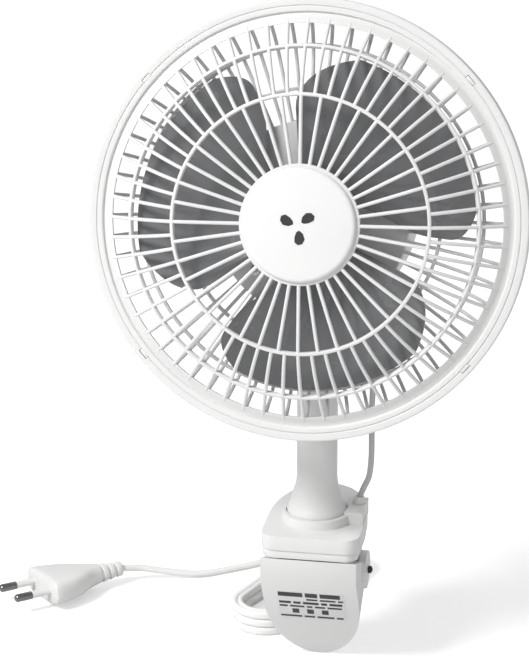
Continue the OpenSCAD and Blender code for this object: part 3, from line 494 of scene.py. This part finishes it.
def swept(name, line, section, material):
    """A section of [level, upright] offsets swept along a line, rolled by the line's fourth number."""
    points, count = [], len(section)
    for i, p in enumerate(line):
        ahead = Vector(line[min(i + 1, len(line) - 1)][:3]) - Vector(line[max(i - 1, 0)][:3])
        ahead.normalize()
        flat = Vector((ahead.x, ahead.y, 0))
        level = Vector((ahead.y, -ahead.x, 0)).normalized() if flat.length > 0.05 else Vector((1, 0, 0))
        upright = level.cross(ahead)
        roll = radians(p[3]) if len(p) > 3 else 0
        side, top = level * cos(roll) + upright * sin(roll), upright * cos(roll) - level * sin(roll)
        points += [Vector(p[:3]) + side * a + top * b for a, b in section]
    return from_shapes(name, points, tube_faces(len(line), count), material)


CORD_WIDTH, CORD_THICK = 4.2, 2.8
GLAND_END = (-4, 59.45, -15.24)
PLUG_X, PLUG_Y = -111.2, 81.2

# The hank: the middle of its front fold, the way it points, the distance between its folds and the
# radii of the cord's middle in its inner and outer turns and in the part that leaves it
HANK_X, HANK_Y, HANK_TURN, HANK_RUN = -31, 49, radians(20), 66
HANK_INNER, HANK_OUTER, HANK_LAST = 12.6, 15.4, 18.4


def twin_core_section():
    """Two round cores side by side with a shallow groove between them."""
    lobe = CORD_THICK / 2
    centre = CORD_WIDTH / 2 - lobe
    right = [(centre + lobe * cos(radians(a)), lobe * sin(radians(a))) for a in range(-100, 101, 25)]
    return right + [(-x, -y) for x, y in right]


def hank_point(u, v, z):
    """A point u along the hank from its front fold and v to its right."""
    return [HANK_X + u * sin(HANK_TURN) + v * cos(HANK_TURN),
            HANK_Y + u * cos(HANK_TURN) - v * sin(HANK_TURN), z]


def ease(t):
    t = min(max(t, 0), 1)
    return t * t * (3 - 2 * t)


def hank_line():
    """Five turns: down the inside, across at the bottom and back up the outside."""
    low, rise = FLOOR_Z + CORD_WIDTH / 2, CORD_WIDTH
    crossing = (HANK_OUTER, 0)
    stays = [(HANK_INNER, 2), (HANK_INNER, 1), (HANK_INNER, 0), (HANK_OUTER, 1), (HANK_OUTER, 2)]
    line = []
    for turn in range(5):
        r, level = stays[turn]
        left = crossing if turn == 2 else stays[turn]
        if turn:
            came = crossing if turn == 3 else stays[turn - 1]
            for k in range(12):
                t = ease(k / 11)
                line.append(hank_point(4 + 53 * k / 11, came[0] + (r - came[0]) * t,
                                       low + rise * (came[1] + (level - came[1]) * t)))
        for a in range(0, 181, 15):
            line.append(hank_point(HANK_RUN + r * sin(radians(a)), r * cos(radians(a)), low + rise * level))
        for k in range(1, 9):
            t = ease(k / 9)
            v = r + (left[0] - r) * t
            line.append(hank_point(HANK_RUN * (1 - k / 9), -v, low + rise * level))
        for a in range(180, 361, 15):
            line.append(hank_point(left[0] * sin(radians(a)), left[0] * cos(radians(a)),
                                   low + rise * left[1]))
    return [p + [90] for p in line]


def lying(roll):
    """Height of the cord's middle when it lies on the floor, rolled this far on to its edge."""
    return FLOOR_Z + CORD_THICK / 2 + (CORD_WIDTH - CORD_THICK) / 2 * sin(radians(roll)) + 0.05


def cord_line():
    """The whole cord, from inside the strain relief to inside the plug."""
    x, y, z = GLAND_END
    drop = [[x, y - 4.6, z + 3.86, 0], [x, y, z, 0], [x, 64.9, -19.8, 0], [-3.6, 71.5, -27, 10],
            [-2.6, 79.5, -36, 40], [-1.6, 87, -43.5, 70], [-0.8, 93, -49, 88]]
    floor, top = lying(0), FLOOR_Z + CORD_WIDTH * 2.5
    leave = []
    for k in range(1, 9):
        r = HANK_OUTER + (HANK_LAST - HANK_OUTER) * ease(k / 4)
        t = ease(k / 8)
        leave.append(hank_point(4 + 56 * k / 8, r, top + (lying(70) - top) * t) + [90 - 20 * t])
    for degrees in (15, 35, 55, 75, 92):
        a, roll = radians(degrees), 70 - degrees * 0.76
        leave.append(hank_point(HANK_RUN + HANK_LAST * sin(a), HANK_LAST * cos(a), lying(roll)) + [roll])
    run = [[-12, 131.6, floor, 0], [-24, 131.6, floor, 0], [-35, 126, floor, 0], [-44.4, 116.7, floor, 0],
           [-57, 106.7, floor, 0], [-73, 96, floor + 0.4, 0], [-89, 91, floor + 2.6, 0],
           [-102, 87, floor + 5.2, 2], [PLUG_X, PLUG_Y, floor + 6.9, 4], [-114.3, 78.6, floor + 6.9, 6]]
    return smooth_line(drop + hank_line() + leave + run, 2.0)


cord = cord_line()
mains_cord = swept("mains_cord", cord, twin_core_section(), finishes["cord_white"])
place_piece(mains_cord, "mains_cord_drop", "cord_hank", "mains_cord_run")


# ---------------------------------------------------------------- plug
PLUG = (Matrix.Translation((PLUG_X, PLUG_Y, FLOOR_Z + 8.3)) @ Matrix.Rotation(radians(39.5), 4, "Z")
        @ Matrix.Rotation(radians(-90), 4, "Y") @ Matrix.Rotation(radians(6), 4, "Z"))
PIN_SPREAD = 9.3
PIN_ROOT = 41
SLEEVE_END, PIN_TIP = 13, 22


def plug_shell():
    """A ringed strain relief that swells into a flat body, up to the pins' face.

    Each station is its height, its half thickness, its half width and how square its section is.
    """
    stations = [(0, 3.3, 3.3, 2), (0.5, 3.7, 3.7, 2)]
    for i in range(3):
        z, r = 3 + 4 * i, 3.9 + 0.45 * i
        for rise, swell in ((-0.2, 0), (0, -0.1), (0.25, -0.9), (1.4, -0.85), (1.7, 0.1)):
            stations.append((z + rise, r + swell, r + swell, 2))
    stations += [(15, 5.4, 5.4, 2), (18, 5.9, 6.6, 2.1), (22, 6.4, 9.6, 2.3), (26, 6.7, 12.6, 2.6),
                 (30, 6.8, 14.8, 2.9), (34, 6.85, 16.3, 3.2), (38, 6.85, 17.2, 3.5), (41, 6.85, 17.6, 3.8),
                 (43, 6.8, 17.6, 3.9), (43.7, 6.5, 17.3, 3.9), (44, 6.0, 16.8, 3.9)]
    count, points = 48, []
    for z, half_t, half_w, power in stations:
        for k in range(count):
            a = 2 * pi * k / count
            c, s = cos(a), sin(a)
            size = (abs(c) ** power + abs(s) ** power) ** (-1 / power)
            points.append((half_t * c * size, half_w * s * size, z))
    faces = tube_faces(len(stations), count)
    shell = from_shapes("plug_shell", points, faces, finishes["plug_white"], PLUG)
    smooth_by_angle(shell, 40)
    return shell


plug_shell_piece = place_piece(plug_shell(), "plug_body")


def plug_rods(name, outline, node):
    rods = []
    for side in (-1, 1):
        placed = PLUG @ Matrix.Translation((0, side * PIN_SPREAD, PIN_ROOT))
        rods.append(turned("rod", outline, finishes[slot_of[node]], placed, 32))
    return place_piece(join_into(name, rods), node)


sleeve_outline = rounded_outline([(1.4, 0, 0), (1.8, 0, 0), (1.8, SLEEVE_END), (1.4, SLEEVE_END)], 0.15)
pin_outline = rounded_outline([(0, 0, 0), (1.38, 0, 0), (1.38, SLEEVE_END, 0), (2, SLEEVE_END), (2, 21),
                               (1.1, PIN_TIP), (0, PIN_TIP, 0)], 0.5)
sleeves = plug_rods("pin_sleeve_pair", sleeve_outline, "pin_sleeves")
pins = plug_rods("plug_pin_pair", pin_outline, "plug_pins")
eased_copy("hank_tie", 0.3)
print("cord length", round(line_length(cord)))


# ---------------------------------------------------------------- geometry nodes
def geometry_tree(name, inputs):
    tree = bpy.data.node_groups.new(name, "GeometryNodeTree")
    tree.interface.new_socket("Geometry", in_out="INPUT", socket_type="NodeSocketGeometry")
    for label, kind, value in inputs:
        tree.interface.new_socket(label, in_out="INPUT", socket_type=kind).default_value = value
    tree.interface.new_socket("Geometry", in_out="OUTPUT", socket_type="NodeSocketGeometry")
    return tree, tree.nodes.new("NodeGroupInput"), tree.nodes.new("NodeGroupOutput")


def math_node(tree, operation, *values):
    return add_node(tree, "ShaderNodeMath", {"operation": operation},
                    **{f"i{i}": v for i, v in enumerate(values)}).outputs[0]


def repeat_round(tree, geometry, count, turn, material_socket):
    """Copies a geometry round the axis, evenly, makes the copies real and gives them their material."""
    single = add_node(tree, "GeometryNodeGeometryToInstance", Geometry=geometry).outputs[0]
    copies = add_node(tree, "GeometryNodeDuplicateElements", {"domain": "INSTANCE"}, Geometry=single,
                      Amount=count)
    share = math_node(tree, "DIVIDE", 2 * pi, count)
    angle = math_node(tree, "MULTIPLY_ADD", copies.outputs["Duplicate Index"], share, turn)
    rotation = add_node(tree, "ShaderNodeCombineXYZ", Z=angle).outputs[0]
    turned_copies = add_node(tree, "GeometryNodeRotateInstances", Instances=copies.outputs[0],
                             Rotation=rotation).outputs[0]
    real = add_node(tree, "GeometryNodeRealizeInstances", Geometry=turned_copies).outputs[0]
    return add_node(tree, "GeometryNodeSetMaterial", Geometry=real, Material=material_socket).outputs[0]


MATERIAL = "NodeSocketMaterial"


def front_height(tree, radius):
    """Height of the front guard's face at a radius: flat, then a quarter wave down to the rim."""
    beyond = math_node(tree, "MAXIMUM", math_node(tree, "SUBTRACT", radius, FLAT_R * MM), 0.0)
    angle = math_node(tree, "MULTIPLY", beyond, pi / 2 / ((WALL_R - FLAT_R) * MM))
    return math_node(tree, "MULTIPLY", math_node(tree, "COSINE", angle), FACE_Z * MM)


# Slopes of the rear guard's face: from one radius to another it rises by this much
REAR_SLOPES = ((75, 88, 3.4), (83, 94, 4.6))


def rear_height(tree, radius):
    """Height of the rear guard's face at a radius: flat, then two slopes up to the rim."""
    rises = []
    for low, high, rise in REAR_SLOPES:
        slope = add_node(tree, "ShaderNodeMapRange", {"interpolation_type": "SMOOTHSTEP"}, Value=radius,
                         i1=low * MM, i2=high * MM, i3=0.0, i4=rise * MM)
        rises.append(slope.outputs[0])
    return math_node(tree, "ADD", math_node(tree, "ADD", *rises), REAR_Z * MM)


def rib_tree(name, height):
    """Ribs of one rounded section that follow a guard's face from one radius to another."""
    tree, start, end = geometry_tree(name, [
        ("Ribs", "NodeSocketInt", 60), ("From", FLOAT, 0.03), ("To", FLOAT, 0.09), ("Width", FLOAT, 0.0016),
        ("Depth", FLOAT, 0.0022), ("Turn", FLOAT, 0.0), ("Finish", MATERIAL, None)])
    first = add_node(tree, "ShaderNodeCombineXYZ", X=start.outputs["From"]).outputs[0]
    last = add_node(tree, "ShaderNodeCombineXYZ", X=start.outputs["To"]).outputs[0]
    line = add_node(tree, "GeometryNodeCurvePrimitiveLine", Start=first, End=last).outputs[0]
    fine = add_node(tree, "GeometryNodeResampleCurve", Curve=line, Count=16).outputs[0]
    position = add_node(tree, "GeometryNodeInputPosition").outputs[0]
    at = add_node(tree, "ShaderNodeSeparateXYZ", Vector=position).outputs["X"]
    half = math_node(tree, "MULTIPLY", start.outputs["Depth"], 0.5)
    level = math_node(tree, "SUBTRACT", height(tree, at), half)
    offset = add_node(tree, "ShaderNodeCombineXYZ", Z=level).outputs[0]
    lifted = add_node(tree, "GeometryNodeSetPosition", Geometry=fine, Offset=offset)
    upright = add_node(tree, "GeometryNodeSetCurveNormal", {"mode": "Z_UP"},
                       Curve=lifted.outputs[0]).outputs[0]
    section = add_node(tree, "GeometryNodeCurvePrimitiveQuadrilateral", Width=start.outputs["Width"],
                       Height=start.outputs["Depth"])
    soft = add_node(tree, "GeometryNodeFilletCurve", {"mode": "POLY"}, Curve=section.outputs[0], Count=3,
                    Radius=0.0007).outputs[0]
    rib = add_node(tree, "GeometryNodeCurveToMesh", Curve=upright, Profile_Curve=soft,
                   Fill_Caps=True).outputs[0]
    shaded = add_node(tree, "GeometryNodeSetShadeSmooth", Geometry=rib).outputs[0]
    done = repeat_round(tree, shaded, start.outputs["Ribs"], start.outputs["Turn"], start.outputs["Finish"])
    tree.links.new(done, end.inputs[0])
    return tree


def round_tree():
    """The mesh it is given, repeated round the axis."""
    inputs = [("Copies", "NodeSocketInt", 3), ("Turn", FLOAT, 0.0), ("Finish", MATERIAL, None)]
    tree, start, end = geometry_tree("repeated round", inputs)
    done = repeat_round(tree, *(start.outputs[label] for label in ("Geometry", "Copies", "Turn", "Finish")))
    tree.links.new(done, end.inputs[0])
    return tree


front_rib_tree = rib_tree("front ribs", front_height)
rear_rib_tree = rib_tree("rear ribs", rear_height)
repeated_round = round_tree()


def grown(name, tree, mesh=None, placed=HEAD, **values):
    """Runs a tree, makes the result a plain mesh and puts it in its place."""
    obj = bpy.data.objects.new(name, mesh or bpy.data.meshes.new(name))
    bpy.context.scene.collection.objects.link(obj)
    modifier = obj.modifiers.new("grown", "NODES")
    modifier.node_group = tree
    for item in tree.interface.items_tree:
        if item.in_out == "INPUT" and item.name in values:
            modifier[item.identifier] = values[item.name]
    settle(obj)
    metres = Matrix.Translation(placed.translation * MM) @ placed.to_3x3().to_4x4()
    obj.data.transform(metres)
    return obj


def cut_away(obj, cutter):
    """Takes the cutter's shape out of the piece."""
    boolean = obj.modifiers.new("cut", "BOOLEAN")
    boolean.operation = "DIFFERENCE"
    boolean.solver = "EXACT"
    boolean.object = cutter
    settle(obj)
    bpy.data.objects.remove(cutter)
    return obj


def block(name, low, high, placed, material):
    points = [(x, y, z) for x in (low[0], high[0]) for y in (low[1], high[1]) for z in (low[2], high[2])]
    faces = [[0, 1, 3, 2], [4, 6, 7, 5], [0, 4, 5, 1], [2, 3, 7, 6], [0, 2, 6, 4], [1, 5, 7, 3]]
    return from_shapes(name, points, faces, material, placed, smooth=False)


# ---------------------------------------------------------------- guards
RIB_TURN = radians(1.5)
INNER_RING_R, REAR_RING_R = 56.5, 58
CLIP_ANGLES = (43, 141, 221.5, 320)
CLIP_NOTCH = ((93.95, -2.5, -4), (95.8, 2.5, 4))
white = finishes["white_plastic"]


def dome(r):
    return FACE_Z if r < FLAT_R else FACE_Z * cos(pi / 2 * (r - FLAT_R) / (WALL_R - FLAT_R))


def ring_outline(r, height, slope, half_width=0.8, half_depth=1.15):
    """A rounded ring section lying along the guard's face."""
    corners = []
    for across, up in ((-1, 1), (1, 1), (1, -1), (-1, -1)):
        x, y = across * half_width, up * half_depth
        corners.append((r + x * cos(slope) - y * sin(slope),
                        height - half_depth + x * sin(slope) + y * cos(slope)))
    return rounded_outline(corners, 0.6)


def clip_cutters(name):
    places = [HEAD @ Matrix.Rotation(radians(a), 4, "Z") for a in CLIP_ANGLES]
    return join_into(name, [block(name, *CLIP_NOTCH, placed, white) for placed in places])


def front_guard():
    rim = rounded_outline([
        (86.8, dome(86.8)), (88.4, dome(88.4) + 0.1), (90, dome(90) + 0.1), (91.6, 1.0, 0.3),
        (91.9, RIM_T, 0.5), (94.1, RIM_T, 0.2), (94.4, 1.9, 0.1), (94.7, RIM_T, 0.2),
        (GUARD_R, RIM_T, 0.9), (GUARD_R, -RIM_T, 0.6), (89.8, -RIM_T), (89.8, -1), (88, 1.2),
        (86.8, 2.1)], 0.5)
    ring = cut_away(turned("rim", rim, white), clip_cutters("notches"))
    smooth_by_angle(ring, 35)
    disc_r, back_z = CAP_R + 1.6, FACE_Z - SHELL_T
    disc = rounded_outline([(0, FACE_Z, 0), (disc_r, FACE_Z), (disc_r, back_z), (0, back_z, 0)], 0.5)
    parts = [ring, turned("disc", disc, white)]
    for r in (INNER_RING_R, OUTER_RING_R):
        slope = atan2(dome(r + 1) - dome(r - 1), 2)
        parts.append(turned("ring", ring_outline(r, dome(r) + 0.1, slope), white))
    for name, ribs, low, high in (("inner_ribs", 40, CAP_R + 1, 56.4), ("outer_ribs", 60, 56.6, 88.2)):
        parts.append(grown(name, front_rib_tree, Ribs=ribs, From=low * MM, To=high * MM, Turn=RIB_TURN,
                           Finish=white))
    return join_into("front_guard_cage", parts)


def rear_level(r):
    return REAR_Z + sum(rise * ease((r - low) / (high - low)) for low, high, rise in REAR_SLOPES)


def rear_guard():
    rim = rounded_outline([
        (88.8, rear_level(88.8)), (91, -2.9), (GUARD_R, -2.75, 0.4), (GUARD_R, -5.5, 0.8), (91.4, -5.5),
        (89.4, rear_level(89.4) - 2.3)], 0.5)
    plate = rounded_outline([(10, REAR_Z), (43.8, REAR_Z), (43.8, REAR_Z - 2), (10, REAR_Z - 2)], 0.4)
    parts = [turned("rim", rim, white), turned("plate", plate, white)]
    for r in (REAR_RING_R, OUTER_RING_R):
        parts.append(turned("ring", ring_outline(r, rear_level(r) + 0.1, 0.0), white))
    parts.append(grown("rear_ribs", rear_rib_tree, Ribs=60, From=43 * MM, To=90 * MM, Turn=RIB_TURN,
                       Depth=2.0 * MM, Finish=white))
    return join_into("rear_guard_cage", parts)


place_piece(front_guard(), "front_guard")
place_piece(rear_guard(), "rear_guard")
eased_copy("guard_clips", 0.25)

def cap_outline():
    """An upright edge, a rounded shoulder and a slightly crowned face, just off the guard's disc."""
    seat, edge, shoulder, crown = FACE_Z + 0.02, 23.3, 1.6, 1.2
    outline = [(0, seat), (CAP_R, seat), (CAP_R, edge)]
    for a in (radians(degrees) for degrees in range(15, 91, 15)):
        outline.append((CAP_R - 2.2 * (1 - cos(a)), edge + shoulder * sin(a)))
    face_r = CAP_R - 2.2
    return outline + [(r, edge + shoulder + crown * (1 - (r / face_r) ** 2)) for r in (20, 15, 10, 5, 0)]


place_piece(turned("badge_cap_face", cap_outline(), finishes["cap_plastic"]), "badge_cap")


def pictogram():
    """A small printed mark on the cap: three plain petals round the centre."""
    petal = [(2.0, 0.6), (3.4, 2.4), (5.8, 3.2), (7.8, 2.2), (8.4, 0.3), (7.2, -1.2), (4.8, -1.2),
             (2.8, -0.5)]
    mesh = bpy.data.meshes.new("petal")
    count = len(petal)
    low, high = 24.9, 26.16
    points = [(x * MM, y * MM, z * MM) for z in (low, high) for x, y in petal]
    faces = [list(range(count))[::-1], [count + k for k in range(count)]]
    faces += [[k, (k + 1) % count, count + (k + 1) % count, count + k] for k in range(count)]
    mesh.from_pydata(points, [], faces)
    return grown("cap_pictogram", repeated_round, mesh, Copies=3, Turn=radians(30), Finish=printed_ink)


mark = pictogram()
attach(mark, "head")


# ---------------------------------------------------------------- blades
def lead_edge(r):
    """Angle of a blade's leading edge at a radius, in degrees."""
    if r < 54:
        return -7 + 16 * ((54 - r) / 25) ** 2
    return -7 + 11.6 * ((r - 62) / (BLADE_R - 62)) ** 2.5 if r > 62 else -7


def trail_edge(r):
    """Angle of its trailing edge."""
    return 94 - 23 * ((r - 50) / (BLADE_R - 50)) ** 2 if r > 50 else 94


def one_blade():
    """A single blade as a closed, thin, swept sheet."""
    root_r, tip_from = HUB_R - 1.5, 62
    radii = [root_r + (tip_from - root_r) * i / 16 for i in range(17)]
    radii += [tip_from + (BLADE_R - tip_from) * sin(radians(90 * i / 12)) for i in range(1, 13)]
    across, points = 28, []
    for r in radii:
        for k in range(across + 1):
            a = lead_edge(r) + (trail_edge(r) - lead_edge(r)) * k / across
            turn = radians(a + 2)
            points.append((r * cos(turn) * MM, r * sin(turn) * MM, (-5 + 16 * (a + 7) / 101) * MM))
    row = across + 1
    faces = [[i * row + k, (i + 1) * row + k, (i + 1) * row + k + 1, i * row + k + 1]
             for i in range(len(radii) - 1) for k in range(across)]
    mesh = bpy.data.meshes.new("blade")
    mesh.from_pydata(points, [], faces)
    obj = new_object("blade", mesh, finishes["grey_blade"])
    shell = obj.modifiers.new("wall", "SOLIDIFY")
    shell.thickness = 1.5 * MM
    shell.offset = 0
    settle(obj)
    return ease_edges(obj, 0.6, 3, 50)


def blade_wheel():
    blade = one_blade()
    mesh = blade.data
    bpy.data.objects.remove(blade)
    blades = grown("blades", repeated_round, mesh, Copies=3, Turn=0.0, Finish=finishes["grey_blade"])
    low, high, wall_z = -7, 8, 5.6
    hub = rounded_outline([
        (5, low, 0.4), (5, wall_z, 1), (HUB_R - 2, wall_z, 1), (HUB_R - 2, low, 0.4), (HUB_R, low, 0.5),
        (HUB_R, high, 2.4), (SHAFT_R + 0.2, high, 0.3), (SHAFT_R + 0.2, 6, 0), (SHAFT_R, low, 0.2)], 0.5)
    return join_into("blade_wheel", [blades, turned("hub", hub, finishes["grey_blade"])])


place_piece(blade_wheel(), "fan_blade")
nut = rounded_outline([(SHAFT_R, 8, 0), (6.2, 8, 0.4), (6.2, 12, 1), (4, 15, 1.2), (0, 15.2, 0), (0, 13, 0),
                       (SHAFT_R, 13, 0)], 0.4)
place_piece(turned("blade_nut_cap", nut, finishes["grey_blade"], steps=64), "blade_nut")

# ---------------------------------------------------------------- leads, spring
def round_section(radius, step):
    return [(radius * cos(radians(a)), radius * sin(radians(a))) for a in range(0, 360, step)]


LEAD = round_section(1.4, 30)
lead_top = HEAD @ Vector((20, -45, -42))
lead_middle = Vector((24.5, 17, 64))
grommet_x, grommet_y = 19, 19.1
upper_route = [list(lead_top + Vector((0, 1.2, 6))), list(lead_top), [22, STEM_Y + 3.9, BOLT_Z + 1.5],
               [24, STEM_Y + 4.9, BOLT_Z - 10.5], [24.8, STEM_Y + 5.9, BOLT_Z - 23.5], list(lead_middle)]
lower_route = [list(lead_middle + Vector((0, 0, 0.6))), [24.6, 17.5, 52], [24.4, 18.5, 40], [23.4, 19, 31],
               [21, 19.2, 25], [grommet_x, grommet_y, 19.5], [grommet_x, grommet_y, 14.5]]
upper_lead = swept("motor_lead_top", smooth_line(upper_route, 1.5), LEAD, finishes["lead_grey"])
lower_lead = swept("motor_lead_foot", smooth_line(lower_route, 1.5), LEAD, finishes["lead_grey"])
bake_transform(upper_lead)
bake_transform(lower_lead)
for lead, node in ((upper_lead, "motor_lead_upper"), (lower_lead, "motor_lead_lower")):
    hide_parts(node)


WIRE_R = 0.8
WIRE = round_section(WIRE_R, 45)


def spring_route():
    """The coil on the hinge pin with its two legs."""
    first, last, coil_r, half = 180, 2100, 3.6, 8
    slope = (LIP_Z - PIN.z) / JAW_REACH

    def coil(a):
        across = -half + 2 * half * (a - first) / (last - first)
        return [across, PIN.y - coil_r * cos(radians(a)), PIN.z + coil_r * sin(radians(a))]

    def under(y):
        """Height of the wire below the jaw's plate, which falls towards the pin."""
        return LIP_Z - 2.6 - (y - JAW_FRONT_Y) * slope - 1.3

    legs = [[-half, PIN.y + 14, -0.3], [-half, PIN.y + 7, -0.3], [-half, PIN.y + 4.6, -1.9],
            [-half, PIN.y + 3.8, PIN.z + 7]]
    coils = [coil(a) for a in range(first, last + 1, 15)]
    return smooth_line(legs + coils + [[half, 4, under(4)], [half, -3, under(-3)]], 0.8)


def wound_wire():
    """The wire swept with its section held to the pin's direction."""
    line = spring_route()
    points, count = [], len(WIRE)
    for i, p in enumerate(line):
        ahead = (Vector(line[min(i + 1, len(line) - 1)]) - Vector(line[max(i - 1, 0)])).normalized()
        side = ahead.cross(Vector((1, 0, 0))).normalized()
        top = side.cross(ahead)
        points += [Vector(p) + side * a + top * b for a, b in WIRE]
    return from_shapes("spring_wire", points, tube_faces(len(line), count), finishes["spring_steel"])


spring = wound_wire()
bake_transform(spring)
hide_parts("clamp_spring")

# ---------------------------------------------------------------- clamp, stem and housings
for node, width, segments, angle in (
        ("upper_cover", 0.9, 3, 35), ("upper_tray", 0.45, 2, 35), ("lower_jaw", 1.5, 4, 35),
        ("stem", 0.4, 2, 50), ("motor_housing_rear", 0.6, 3, 35), ("motor_housing_front", 0.4, 2, 35)):
    eased_copy(node, width, segments, angle)
for node, width in (
        ("upper_pad", 0.25), ("lower_pad", 0.25), ("pin_caps", 0.25), ("switch_knob", 0.25),
        ("cord_gland", 0.3), ("lead_grommet", 0.2), ("tilt_nut", 0.5), ("tilt_bolt", 0.3),
        ("lead_bush", 0.2), ("rating_label", 0.05), ("hinge_pin", 0.2), ("tray_screws", 0.15),
        ("housing_screws", 0.15), ("guard_screws", 0.15)):
    eased_copy(node, width)


# Rows of print on the label: distance down it, height, where it starts, its gaps and the bars' widths
PRINT_ROWS = (
    (9.8, 3.4, -15.2, 1.2, (11.6, 5.8, 9.6)),
    (14.6, 1.3, -2.0, 1.2, (5.2, 7.4, 2.4)),
    (17.4, 1.8, -15.2, 1.2, (5.6, 3.4, 7.4, 2.8, 6.0)),
    (20.7, 1.3, -15.2, 1.2, (3.8, 6.8, 2.6, 4.8, 6.8)),
    (23.6, 3.6, -9.4, 3.8, (3.2, 3.2, 3.2)),
    (29.2, 1.3, -15.2, 1.2, (10.0, 5.0, 8.0, 3.2)),
)


def label_print():
    """Plain bars and blocks in rows on the label, and no letters."""
    bars = []
    for y, tall, x, space, widths in PRINT_ROWS:
        for width in widths:
            bars.append(block("bar", (x, y, -0.3), (x + width, y + tall, -0.2), CLAMP_FACE, printed_ink))
            x += width + space
    return join_into("label_print", bars)


bars = label_print()
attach(bars, "lower_jaw")

for node, obj in frame["nodes"].items():
    if not obj.hide_render:
        obj.data.materials.clear()
        obj.data.materials.append(finishes[slot_of[node]])

# ---------------------------------------------------------------- floor
FLOOR_REACH = 3000
floor = block("studio_floor", (-FLOOR_REACH, -FLOOR_REACH, FLOOR_Z - 20),
              (FLOOR_REACH, FLOOR_REACH, FLOOR_Z - 0.02), Matrix.Identity(4), floor_paint)
